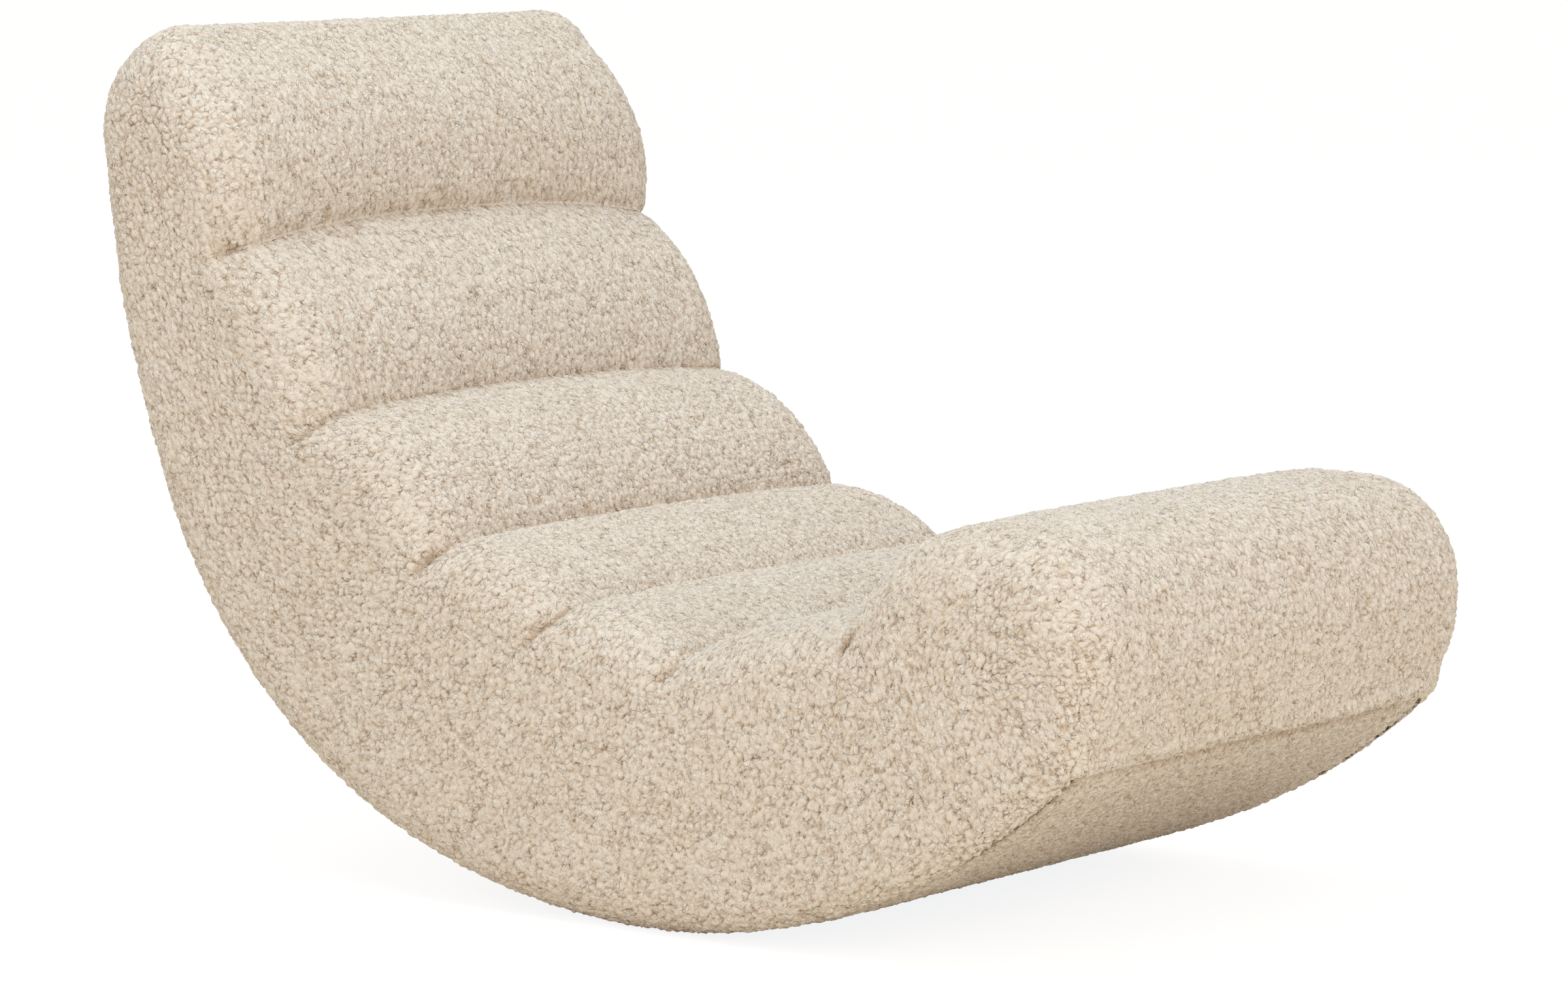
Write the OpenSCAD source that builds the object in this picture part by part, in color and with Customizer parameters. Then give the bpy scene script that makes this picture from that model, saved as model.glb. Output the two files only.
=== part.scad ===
// Armless rocking armchair with seven upholstered channels over a curved wooden frame.
// The side view is drawn as [forward, up]. On the finished chair forward is -Y, up is +Z and the width lies
// along X. The origin is the middle of the flat on the underside that rests on the floor.
// Places along the chair are arc lengths on its outer curve, measured forward from the floor contact.
// Depths are measured inward from that curve, square to it.

/* [Overall] */
// Overall width across the side upholstery
chair_w = 700; // [560:5:900]
// How far the middle of each side swells out past its edges
side_fullness = 6; // [2:0.5:12]
// Depth of the flat pressed into the underside by the floor
floor_flat = 0.5; // [0.3:0.1:1.5]

/* [Outer curve] */
// Radius of the rocking underside
rocker_r = 735; // [600:5:1000]
// Length of the underside ahead of the floor contact
rocker_front_len = 543; // [480:5:620]
// Length of the underside behind the floor contact
rocker_rear_len = 287; // [220:5:360]
// Radius of the lower back
lower_back_r = 580; // [450:5:800]
// Length of the lower back
lower_back_len = 470; // [400:5:560]
// Radius of the upper back
upper_back_r = 1330; // [900:10:3000]
// Length of the upper back up to the head
upper_back_len = 365; // [300:5:430]

/* [Head] */
// Radius of the back of the head cushion
head_back_r = 104; // [85:1:130]
// Turn of the back of the head cushion in degrees
head_back_turn = 75; // [60:1:90]
// Radius of the top of the head cushion
head_top_r = 42; // [30:1:60]
// Turn of the top of the head cushion in degrees
head_top_turn = 88; // [70:1:100]
// Crown of the head cushion's front above its chord
head_crown = 30; // [12:1:40]

/* [Front roll] */
// Steepness of the roll's front face at the seam under it, in degrees
roll_rise = 62; // [52:1:75]
// Radius of the roll's front face
roll_front_r = 253; // [180:1:400]
// Turn of the roll's front face in degrees
roll_front_turn = 30; // [15:1:40]
// Radius of the top of the roll
roll_top_r = 95; // [70:1:120]
// Turn of the top of the roll in degrees
roll_top_turn = 102; // [85:1:115]
// Crown of the roll's rear slope above its chord
roll_crown = 34; // [12:1:42]

/* [Grooves] */
// Length of the head cushion on the outer curve, up to the groove under it
head_len = 148; // [110:1:190]
// Thickness of the chair at the groove under the head
neck_t = 184; // [165:1:230]
// Place of the groove between upper and middle back
shoulder_at = -754; // [-800:1:-720]
// Thickness at the groove between upper and middle back
shoulder_t = 240; // [215:1:290]
// Place of the groove between middle and lower back
waist_at = -426; // [-470:1:-385]
// Thickness at the groove between middle and lower back
waist_t = 289; // [260:1:330]
// Place of the groove between back and seat
hip_at = -154; // [-200:1:-120]
// Thickness at the groove between back and seat
hip_t = 298; // [265:1:340]
// Place of the groove between rear and front seat
thigh_at = 70; // [30:1:110]
// Thickness at the groove between rear and front seat
thigh_t = 270; // [240:1:310]
// Length of the front roll on the underside, up to the groove behind it
roll_len = 153; // [130:1:190]
// Thickness at the groove behind the front roll
knee_t = 254; // [230:1:290]

/* [Channel cushions] */
// Depth of the seat cushions and the roll under the grooves
pad_depth = 70; // [60:1:85]
// Depth of the back and head cushions under the grooves
back_pad_depth = 56; // [52:1:75]
// Crown of the upper back channel
upper_back_crown = 25; // [10:1:40]
// Crown of the middle back channel
middle_back_crown = 27; // [10:1:40]
// Crown of the lower back channel
lower_back_crown = 16; // [8:1:30]
// Crown of the rear seat channel
rear_seat_crown = 25; // [10:1:40]
// Crown of the front seat channel
front_seat_crown = 8; // [4:1:30]
// Radius of the rounded ends of the channels
end_r = 50; // [35:1:51]
// Share of the crown that is left on the flat end of a channel
end_crown = 0.35; // [0:0.05:1]
// How far the channels drop between mid width and their rounded ends
end_droop = 3; // [0:0.5:8]
// Thickness of the tie strips sewn into the grooves
tie_t = 1.6; // [1:0.1:3]
// How far the tie strips stay below the edge of the groove
tie_drop = 12; // [6:1:25]

/* [Side and underside pads] */
// Thickness of the side pads at their edges, and radius of their lower edge
side_pad_t = 42; // [32:1:50]
// Thickness of the padded cover on the underside and back
cover_t = 14; // [10:1:22]

// Opening of the seam between the front roll and the underside cover
seam_gap = 1; // [0.5:0.1:3]
// Clearance round the frame in the head cushion and in the front roll
slot_gap = 0.3; // [0.1:0.1:2]

/* [Frame] */
// Thickness of the plywood side frames
ply_t = 18; // [12:1:24]
// Thickness of the centre rib
rib_t = 18; // [12:1:24]
// Depth of the centre rib above the rocker skin
rib_depth = 58; // [45:1:80]
// Thickness of the bent plywood rocker skin
skin_t = 5; // [3:0.5:8]
// Where the plywood skin ends and the fibreboard of the back begins
skin_rear_at = -332; // [-400:1:-300]
// How far the frame stays below the end of the back curve
frame_top_inset = 30; // [20:1:60]
// Depth of the frame's edge at its top
frame_top_t = 112; // [95:1:120]
// How far the frame stays behind the seam under the front roll
frame_front_inset = 30; // [23:1:35]
// Length of the frame's slope in the front roll
frame_nose_len = 65; // [50:1:80]
// Depth of the frame's edge at the rear end of that slope
frame_nose_t = 214; // [190:1:225]
// Depth of the frame's edge at its front end
frame_front_t = 172; // [140:1:190]
// Width of the wood left round the openings of the side frames
frame_border = 34; // [25:1:45]
// Corner radius of the openings in the side frames
window_r = 22; // [10:1:30]

/* [Rails] */
// Thickness of the cross rails
rail_t = 20; // [16:1:26]
// Depth of the cross rails under the grooves
rail_depth = 60; // [45:1:62]
// Thickness of the cross rails on the rocker skin
floor_rail_t = 18; // [14:1:24]
// Width of the cross rails on the rocker skin
floor_rail_w = 70; // [50:1:90]
// Place of the rear cross rail on the skin
rear_floor_rail_at = -355; // [-400:1:-320]
// Place of the middle cross rail on the skin
middle_floor_rail_at = 0; // [-40:1:40]
// Place of the front cross rail on the skin
front_floor_rail_at = 335; // [290:1:360]
// Depth of the rails in the head and in the front roll
end_rail_depth = 50; // [40:1:60]
// How far the rail in the head cushion stays below the top of the frame
head_rail_inset = 20; // [14:1:42]
// How far the rail in the front roll stays behind the front end of the frame
nose_rail_inset = 29; // [18:1:43]
// How far the cross rails stay below the edge of the side frames
rail_drop = 3; // [2:0.5:8]
// How far the steel balance bar stays behind the front end of the frame
balance_bar_inset = 27; // [21:1:43]
// Thickness of the balance bar
balance_bar_t = 32; // [16:1:40]
// Depth of the balance bar, square to the underside
balance_bar_depth = 90; // [40:1:100]
// Leg of the triangular glue blocks
block_leg = 44; // [30:1:60]
// Length of the glue blocks
block_len = 46; // [30:1:54]
// Rear end of the centre rib
rib_rear_at = -680; // [-760:1:-620]
// Front end of the centre rib
rib_front_at = 440; // [400:1:460]
// Clearance where the centre rib is notched over a rail
notch_gap = 0.3; // [0.1:0.1:1]

/* [Screws] */
// Diameter of the screws' shanks
screw_d = 5; // [4:0.5:6]
// Length of the screws
screw_len = 60; // [45:1:80]
// Diameter of the countersunk heads
screw_head_d = 10; // [8:0.5:12]
// Length of the countersunk heads
screw_head_len = 3; // [2:0.5:4]
// Radial clearance of the screws in their holes
screw_gap = 0.1; // [0.05:0.05:0.3]
// Distance between the two screws at a rail's end
screw_pitch = 30; // [20:1:36]

/* [Suspension] */
// Thickness of the elastic webbing
web_t = 2; // [1.5:0.5:4]
// Share of each bay of the frame that a webbing strap covers
web_share = 0.74; // [0.5:0.02:0.9]
// Thickness of the cloth that lies over the webbing
cloth_t = 1.5; // [1:0.5:3]

/* [Hidden] */

boucle = [0.87, 0.81, 0.71];
birch = [0.82, 0.68, 0.47];
pine = [0.90, 0.76, 0.52];
strap_grey = [0.25, 0.24, 0.23];
lining = [0.92, 0.91, 0.88];
zinc = [0.75, 0.75, 0.72];
steel = [0.45, 0.46, 0.48];
fibreboard = [0.68, 0.58, 0.44];

curve_step = 22; // longest step along the outer curve
crown_steps = 10; // steps across a channel's crown
end_steps = 5; // steps round the end of a cushion
bays = 3; // webbing straps under each channel
pad_round = 5; // steps round the lower edge of a side pad
pad_face = 6; // steps across the face of a side pad
pad_step = 48; // longest step along a side pad
window_step = 40; // longest step along the edges of the openings in the side frames
cut = 10; // how far a cutting shape runs past what it cuts
deg = 180 / PI;

// x of the side pads' edges, of the frame's outer faces and of the space between the side frames
edge_x = chair_w / 2 - side_fullness;
frame_x = edge_x - side_pad_t;
inner_x = frame_x - ply_t;
// Depths of the frame's lower edge and of what lies on its upper edge
frame_low_t = cover_t + skin_t;
edge_drop = cloth_t + web_t;
seam_at = rocker_front_len;
waist_end_at = -(rocker_rear_len + lower_back_len);
back_end_at = waist_end_at - upper_back_len;
neck_at = back_end_at + head_len;
knee_at = seam_at - roll_len;
frame_top_at = back_end_at + frame_top_inset;
frame_front_at = seam_at - frame_front_inset;
frame_nose_at = frame_front_at - frame_nose_len;
head_rail_at = frame_top_at + head_rail_inset;
nose_rail_at = frame_front_at - nose_rail_inset;
balance_bar_at = frame_front_at - balance_bar_inset;

// End of an arc that leaves p at one heading and reaches another, turning left where r is positive
function arc_end(p, from, to, r) = p + r * [sin(to) - sin(from), cos(from) - cos(to)];
function arc(p, from, turn, r, n) = [for (i = [0:n]) arc_end(p, from, from + turn * i / n, r)];

// The outer curve: rocking underside, lower back and upper back, each tangent to the next
bottom = [0, -floor_flat];
rear_turn = -rocker_rear_len / rocker_r * deg;
rear_point = arc_end(bottom, 0, rear_turn, rocker_r);
waist_turn = rear_turn - lower_back_len / lower_back_r * deg;
waist_point = arc_end(rear_point, rear_turn, waist_turn, lower_back_r);
function heading(s) = s > -rocker_rear_len ? s / rocker_r * deg
    : s > waist_end_at ? rear_turn + (s + rocker_rear_len) / lower_back_r * deg
    : waist_turn + (s - waist_end_at) / upper_back_r * deg;
function outer(s) = s > -rocker_rear_len ? arc_end(bottom, 0, heading(s), rocker_r)
    : s > waist_end_at ? arc_end(rear_point, rear_turn, heading(s), lower_back_r)
    : arc_end(waist_point, waist_turn, heading(s), upper_back_r);
function inward(s) = [-sin(heading(s)), cos(heading(s))];
function along(s) = [cos(heading(s)), sin(heading(s))];
function at(s, t) = outer(s) + t * inward(s);

function mix(a, b, k) = a + (b - a) * k;
function unit(v) = v / norm(v);
function sum(v, i = 0) = i == len(v) - 1 ? v[i] : v[i] + sum(v, i + 1);
function reverse(v) = [for (i = [len(v) - 1:-1:0]) v[i]];
// Evenly spaced values from a up to b, without b
function steps(a, b, step) = let (n = max(1, ceil((b - a) / step))) [for (i = [0:n - 1]) mix(a, b, i / n)];
// Nearest point to p on the line from a to b
function nearest(p, a, b) = mix(a, b, min(1, max(0, (p - a) * (b - a) / ((b - a) * (b - a)))));
// Arc from a to b whose middle stands h to the left of the chord
function crown_arc(a, b, h, n) = let (c = norm(b - a), r = (c * c / 4 + h * h) / (2 * h),
    half = asin(c / 2 / r), u = (b - a) / c, w = [-u[1], u[0]])
    [for (i = [0:n]) let (q = half * (2 * i / n - 1))
        (a + b) / 2 + u * r * sin(q) + w * (r * cos(q) - r + h)];

// Places that every piece on the outer curve shares, so that their faces meet
curve_at = concat(steps(back_end_at, frame_top_at, curve_step), steps(frame_top_at, neck_at, curve_step),
    steps(neck_at, skin_rear_at, curve_step), steps(skin_rear_at, knee_at, curve_step),
    steps(knee_at, frame_front_at, curve_step), steps(frame_front_at, seam_at, curve_step), [seam_at]);
function between(a, b) = [for (s = curve_at) if (s >= a - 0.001 && s <= b + 0.001) s];
// Strip along the outer curve, from depth t0 to depth t1
function strip(a, b, t0, t1) = concat([for (s = between(a, b)) at(s, t0)],
    [for (s = reverse(between(a, b))) at(s, t1)]);

// Deck line: the seat side of the frame, with a corner at each of these places and straight between them
groove_at = [neck_at, shoulder_at, waist_at, hip_at, thigh_at, knee_at];
groove_t = [neck_t, shoulder_t, waist_t, hip_t, thigh_t, knee_t];
crowns = [upper_back_crown, middle_back_crown, lower_back_crown, rear_seat_crown, front_seat_crown];
hip_pad_depth = (back_pad_depth + pad_depth) / 2;
pad_depths = [back_pad_depth, back_pad_depth, back_pad_depth, hip_pad_depth, pad_depth, pad_depth];
edge_depth = concat([[frame_top_at, frame_top_t]],
    [for (k = [0:5]) [groove_at[k], groove_t[k] - pad_depths[k]]],
    [[frame_nose_at, frame_nose_t], [frame_front_at, frame_front_t]]);
bay_at = concat([for (k = [0:4]) for (i = [0:bays - 1]) mix(groove_at[k], groove_at[k + 1], i / bays)],
    [knee_at]);
deck_at = concat([frame_top_at], bay_at, [frame_nose_at, frame_front_at]);
function deck(s, drop = 0) = at(s, lookup(s, edge_depth) - drop);
function deck_line(a, b, drop = 0) = [for (s = deck_at) if (s >= a && s <= b) deck(s, drop)];
// Point on the deck line, also between its corners
function deck_point(s) = [for (i = [0:len(deck_at) - 2]) if (s >= deck_at[i] && s <= deck_at[i + 1])
    mix(deck(deck_at[i]), deck(deck_at[i + 1]), (s - deck_at[i]) / (deck_at[i + 1] - deck_at[i]))][0];
// Point of the deck line that lies ds ahead of the groove at place i
function deck_beside(i, ds) = let (s = bay_at[i], p = deck(s), q = deck(bay_at[ds > 0 ? i + 1 : i - 1]))
    mix(p, q, ds / ((q - p) * along(s)));

// Outline of the head cushion from the back over the top to the neck groove
head_from = heading(back_end_at) + 180;
head_back = arc(outer(back_end_at), head_from, -head_back_turn, -head_back_r, 5);
head_top = arc(head_back[5], head_from - head_back_turn, -head_top_turn, -head_top_r, 5);
head_front = crown_arc(head_top[5], at(neck_at, neck_t) - along(neck_at) * tie_t / 2, head_crown, 6);
head_core = outer(back_end_at) + head_back_r * [sin(head_from), -cos(head_from)];
head_base = at(neck_at, neck_t / 2) - along(neck_at) * tie_t / 2;
head_outline = concat([at(neck_at, 0) - along(neck_at) * tie_t / 2],
    reverse([for (s = between(back_end_at, neck_at - 1)) outer(s)]),
    [for (i = [1:5]) head_back[i]], [for (i = [1:5]) head_top[i]], [for (i = [1:6]) head_front[i]]);

// Outline of the front roll from the knee groove over the top to the seam and back along the underside
roll_front = arc(outer(seam_at), roll_rise, roll_front_turn, roll_front_r, 4);
roll_top = arc(roll_front[4], roll_rise + roll_front_turn, roll_top_turn, roll_top_r, 7);
roll_rear = crown_arc(roll_top[7], at(knee_at, knee_t) + along(knee_at) * tie_t / 2, -roll_crown, 6);
roll_base = at(knee_at, knee_t / 2) + along(knee_at) * tie_t / 2;
roll_core = at(seam_at - side_pad_t / 2, knee_t / 2);
roll_outline = concat(reverse([for (i = [1:6]) roll_rear[i]]), reverse([for (i = [1:7]) roll_top[i]]),
    reverse(roll_front), reverse([for (s = between(knee_at + 1, seam_at - 1)) outer(s)]),
    [at(knee_at, 0) + along(knee_at) * tie_t / 2]);

// Stations across the width: [x, turn of the rounded end, droop]. Only the last few turn
flat_x = edge_x - end_r;
half_stations = concat([for (k = [0, 0.4, 0.75]) [flat_x * k, 0, end_droop * k * k]],
    [for (i = [0:end_steps]) let (q = 90 * i / end_steps) [flat_x + end_r * sin(q), q, end_droop]]);
stations = concat(reverse([for (h = half_stations) if (h[0] > 0) [-h[0], h[1], h[2]]]), half_stations);
function bent(q) = 1 - cos(q);

// Section of a channel cushion between two grooves
function channel(k, st) = let (a = k * bays, b = (k + 1) * bays, sink = end_r * bent(st[1]) + st[2],
    p = at(groove_at[k], groove_t[k] - sink) + along(groove_at[k]) * tie_t / 2,
    q = at(groove_at[k + 1], groove_t[k + 1] - sink) - along(groove_at[k + 1]) * tie_t / 2,
    high = crowns[k] * mix(1, end_crown, bent(st[1])))
    concat(crown_arc(p, q, high, crown_steps), [deck_beside(b, -tie_t / 2)],
        [for (i = [b - 1:-1:a + 1]) deck(bay_at[i])], [deck_beside(a, tie_t / 2)]);
// Section of the head or the roll: its outline drawn in towards its core, less on the outer curve
function drawn_in(outline, base, core, st) = [for (i = [0:len(outline) - 1])
    let (p = outline[i], low = is_outer(p), at_end = i == 0 || i == len(outline) - 1,
        to = at_end ? base : nearest(p, base, core))
    p + unit(to - p) * (low ? side_pad_t * bent(st[1]) : end_r * bent(st[1]) + st[2])];
function is_outer(p) = min([for (s = curve_at) norm(outer(s) - p)]) < tie_t;

// Solid through sections of equally many points, with the middles of its ends moved out by end_out
module loft(sections, end_out = [0, 0, 0]) {
    n = len(sections[0]);
    last = len(sections) - 1;
    points = concat([for (ring = sections) each ring],
        [sum(sections[0]) / n - end_out, sum(sections[last]) / n + end_out]);
    sides = [for (k = [0:last - 1]) for (i = [0:n - 1]) let (j = (i + 1) % n, a = k * n, b = a + n)
        each [[a + i, b + i, b + j], [a + i, b + j, a + j]]];
    ends = [for (i = [0:n - 1]) let (j = (i + 1) % n, b = last * n)
        each [[len(points) - 2, i, j], [len(points) - 1, b + j, b + i]]];
    polyhedron(points, concat(sides, ends), convexity = 6);
}
// Side view points, closed by a straight line, extruded over a width from x = a to x = b
module plate(points, a, b)
    translate([(a + b) / 2, 0, 0]) rotate([90, 0, -90]) linear_extrude(b - a, center = true) polygon(points);
// Frame whose origin is the point of depth t at place s, with +Z inward and -Y forward along the curve
module local(s, t) translate([0, -at(s, t)[0], at(s, t)[1]]) rotate([-heading(s), 0, 0]) children();
// A side view point at x, not below the floor
function placed(x, p) = [x, -p[0], max(0, p[1])];

module channel_cushion(k) color(boucle)
    loft([for (st = stations) [for (p = channel(k, st)) placed(st[0], p)]], [side_fullness / 2, 0, 0]);
module head_cushion() color(boucle) difference() {
    loft([for (st = stations) [for (p = drawn_in(head_outline, head_base, head_core, st)) placed(st[0], p)]],
        [side_fullness, 0, 0]);
    plate(concat([at(neck_at + cut, cover_t - slot_gap)],
        reverse([for (s = between(frame_top_at, neck_at)) at(s, cover_t - slot_gap)]),
        [for (t = [cover_t - slot_gap, frame_top_t + slot_gap]) at(frame_top_at - slot_gap, t)],
        [for (s = [neck_at, neck_at + cut]) at(s, neck_t - back_pad_depth + slot_gap)]),
        -frame_x - slot_gap, frame_x + slot_gap);
}
module front_roll() color(boucle) difference() {
    loft([for (st = stations) [for (p = drawn_in(roll_outline, roll_base, roll_core, st)) placed(st[0], p)]],
        [side_fullness, 0, 0]);
    plate(concat([for (s = between(knee_at, seam_at)) at(s, -cut)],
        [for (t = [-cut, cover_t + slot_gap]) at(seam_at + seam_gap, t)],
        [for (t = [cover_t, frame_front_t]) at(frame_front_at + slot_gap, t + slot_gap)],
        [at(frame_nose_at, frame_nose_t + slot_gap)],
        [for (s = [knee_at, knee_at - cut]) at(s, knee_t - pad_depth + slot_gap)], [at(knee_at - cut, -cut)]),
        -frame_x - slot_gap, frame_x + slot_gap);
}
module upper_back_channel() channel_cushion(0);
module middle_back_channel() channel_cushion(1);
module lower_back_channel() channel_cushion(2);
module rear_seat_channel() channel_cushion(3);
module front_seat_channel() channel_cushion(4);

// Section of the right side pad at place s: rounded below, gently swollen on its face
function pad_section(s) = let (p = outer(s), d = deck_point(s) - p, l = norm(d), u = d / l,
    swell = side_fullness * sqrt(max(0, sin(180 * (s - neck_at) / (knee_at - neck_at)))))
    concat([for (i = [0:pad_round]) let (q = 90 * i / pad_round)
        placed(frame_x + side_pad_t * sin(q), p + u * side_pad_t * bent(q))],
    [for (i = [1:pad_face]) let (k = i / pad_face)
        placed(edge_x + swell * sin(180 * k), p + u * mix(side_pad_t, l, k))],
    [placed(frame_x, p + d)]);
pad_at = concat([for (i = [0:len(bay_at) - 2]) each steps(bay_at[i], bay_at[i + 1], pad_step)], [knee_at]);
module side_pad() color(boucle) loft([for (s = pad_at) pad_section(s)]);
module right_side_pad() side_pad();
module left_side_pad() mirror([1, 0, 0]) side_pad();

module underside_cover() color(boucle) difference() {
    plate(strip(neck_at, seam_at, 0, cover_t), -frame_x, frame_x);
    translate([-chair_w / 2, -chair_w / 2, -cut]) cube([chair_w, chair_w, cut]);
}
module groove_ties() color(lining) for (k = [0:5])
    local(groove_at[k], groove_t[k] - pad_depths[k] + slot_gap) translate([-flat_x, -tie_t / 2, 0])
        cube([2 * flat_x, tie_t, pad_depths[k] - slot_gap - tie_drop]);
module deck_cloth() color(lining)
    plate(concat(deck_line(neck_at, knee_at), reverse(deck_line(neck_at, knee_at, cloth_t))),
        -frame_x, frame_x);

// Elastic strap that lies on the side frames over one bay of the deck line
function strap_point(i, k, drop) = mix(deck(bay_at[i], drop), deck(bay_at[i + 1], drop), k);
module strap(i) {
    a = (1 - web_share) / 2;
    plate([strap_point(i, a, edge_drop), strap_point(i, 1 - a, edge_drop), strap_point(i, 1 - a, cloth_t),
        strap_point(i, a, cloth_t)], -frame_x, frame_x);
}
module back_webbing() color(strap_grey) for (i = [0:3 * bays - 1]) strap(i);
module seat_webbing() color(strap_grey) for (i = [3 * bays:5 * bays - 1]) strap(i);

// Rails under the deck line: [place, depth of the board]
deck_rails = concat([[head_rail_at, end_rail_depth]], [for (s = groove_at) [s, rail_depth]],
    [[nose_rail_at, end_rail_depth]]);
floor_rails = [rear_floor_rail_at, middle_floor_rail_at, front_floor_rail_at];
function rail_top(s) = edge_near(s, rail_t / 2) - edge_drop - rail_drop;
function edge_near(s, reach) = min(lookup(s - reach, edge_depth), lookup(s + reach, edge_depth));
// Depth of the flat underside of a board whose two edges lie on the rocker skin
function floor_rail_low(s) = (at(s + floor_rail_w / 2, frame_low_t) - outer(s)) * inward(s) + notch_gap;

balance_bar_low = frame_low_t + balance_bar_t / 4;

// Screws in the frame of the right side: [place, offset along the curve, depth]
screw_axes = concat(
    [for (r = deck_rails) for (k = [-1, 1]) [r[0], 0, rail_top(r[0]) - r[1] / 2 + k * screw_pitch / 2]],
    [for (s = floor_rails) for (k = [-1, 1]) [s, k * screw_pitch / 2, floor_rail_low(s) + floor_rail_t / 2]],
    [for (k = [-1, 1]) [balance_bar_at, 0, balance_bar_low + balance_bar_depth / 2 + k * screw_pitch / 2]]);
module screw(gap = 0) {
    cylinder(h = screw_head_len, d1 = screw_head_d + 2 * gap, d2 = screw_d + 2 * gap, $fn = 32);
    cylinder(h = screw_len + gap, d = screw_d + 2 * gap, $fn = 32);
}
module screws_on(side, gap = 0, axes = screw_axes) for (a = axes) local(a[0], a[2])
    translate([side * frame_x, a[1], 0]) rotate([0, -side * 90, 0]) screw(gap);
module frame_screws() color(zinc) for (side = [-1, 1]) screws_on(side);

// Opening in a side frame between grooves k and k + 1, with its corners rounded
function window(k) = let (reach = rail_t / 2 + frame_border, a = groove_at[k] + reach,
    b = groove_at[k + 1] - reach, low = frame_low_t + frame_border, high = edge_drop + frame_border,
    places = concat([for (q = [0:22.5:67.5]) a + window_r * bent(q)],
        steps(a + window_r, b - window_r, window_step), [for (q = [90:-22.5:0]) b - window_r * bent(q)]))
    concat([for (s = places) at(s, low + corner_rise(s, a, b))],
        reverse([for (s = places) at(s, lookup(s, edge_depth) - high - corner_rise(s, a, b))]));
function corner_rise(s, a, b) = let (d = window_r - min(s - a, b - s, window_r))
    window_r - sqrt(max(0, window_r * window_r - d * d));
frame_outline = concat([for (s = between(frame_top_at, frame_front_at)) at(s, frame_low_t)],
    reverse(deck_line(frame_top_at, frame_front_at, edge_drop)));
module right_side_frame() color(birch) difference() {
    plate(frame_outline, inner_x, frame_x);
    for (k = [1:4]) plate(window(k), inner_x - cut, frame_x + cut);
    screws_on(1, screw_gap);
}
module left_side_frame() mirror([1, 0, 0]) right_side_frame();

module rocker_skin() color(birch)
    plate(strip(skin_rear_at, frame_front_at, cover_t, frame_low_t), -frame_x, frame_x);
module back_board() color(fibreboard)
    plate(strip(frame_top_at, skin_rear_at, cover_t, frame_low_t), -frame_x, frame_x);
module centre_rib() color(birch) difference() {
    plate(strip(rib_rear_at, rib_front_at, frame_low_t, frame_low_t + rib_depth), -rib_t / 2, rib_t / 2);
    for (s = floor_rails) local(s, 0) translate([-rib_t, -floor_rail_w / 2 - notch_gap, 0])
        cube([2 * rib_t, floor_rail_w + 2 * notch_gap, floor_rail_low(s) + floor_rail_t + notch_gap]);
}

module deck_rail(i) {
    s = deck_rails[i][0];
    depth = deck_rails[i][1];
    color(pine) difference() {
        local(s, rail_top(s) - depth) translate([-inner_x, -rail_t / 2, 0])
            cube([2 * inner_x, rail_t, depth]);
        for (side = [-1, 1]) screws_on(side, screw_gap, [for (a = screw_axes) if (a[0] == s) a]);
    }
}
module floor_rail(s) color(pine) difference() {
    local(s, floor_rail_low(s)) translate([-inner_x, -floor_rail_w / 2, 0])
        cube([2 * inner_x, floor_rail_w, floor_rail_t]);
    for (side = [-1, 1]) screws_on(side, screw_gap, [for (a = screw_axes) if (a[0] == s) a]);
}
module balance_bar() color(steel) difference() {
    local(balance_bar_at, balance_bar_low) translate([-inner_x, -balance_bar_t / 2, 0])
        cube([2 * inner_x, balance_bar_t, balance_bar_depth]);
    for (side = [-1, 1]) screws_on(side, screw_gap, [for (a = screw_axes) if (a[0] == balance_bar_at) a]);
}
module head_rail() deck_rail(0);
module neck_rail() deck_rail(1);
module shoulder_rail() deck_rail(2);
module waist_rail() deck_rail(3);
module hip_rail() deck_rail(4);
module thigh_rail() deck_rail(5);
module knee_rail() deck_rail(6);
module nose_rail() deck_rail(7);
module rear_floor_rail() floor_rail(rear_floor_rail_at);
module middle_floor_rail() floor_rail(middle_floor_rail_at);
module front_floor_rail() floor_rail(front_floor_rail_at);

// Triangular blocks glued behind the rails' ends against the side frames
module glue_blocks() color(pine) for (i = [1:6]) for (side = [-1, 1]) {
    s = deck_rails[i][0];
    local(s, edge_near(s, rail_t / 2 + block_leg) - edge_drop - rail_drop - block_len)
        translate([side * inner_x, rail_t / 2, 0])
        linear_extrude(block_len) polygon([[0, 0], [-side * block_leg, 0], [0, block_leg]]);
}

head_cushion();
upper_back_channel();
middle_back_channel();
lower_back_channel();
rear_seat_channel();
front_seat_channel();
front_roll();
left_side_pad();
right_side_pad();
underside_cover();
groove_ties();
deck_cloth();
back_webbing();
seat_webbing();
left_side_frame();
right_side_frame();
centre_rib();
rocker_skin();
head_rail();
neck_rail();
shoulder_rail();
waist_rail();
hip_rail();
thigh_rail();
knee_rail();
nose_rail();
rear_floor_rail();
middle_floor_rail();
front_floor_rail();
balance_bar();
back_board();
glue_blocks();
frame_screws();
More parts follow.
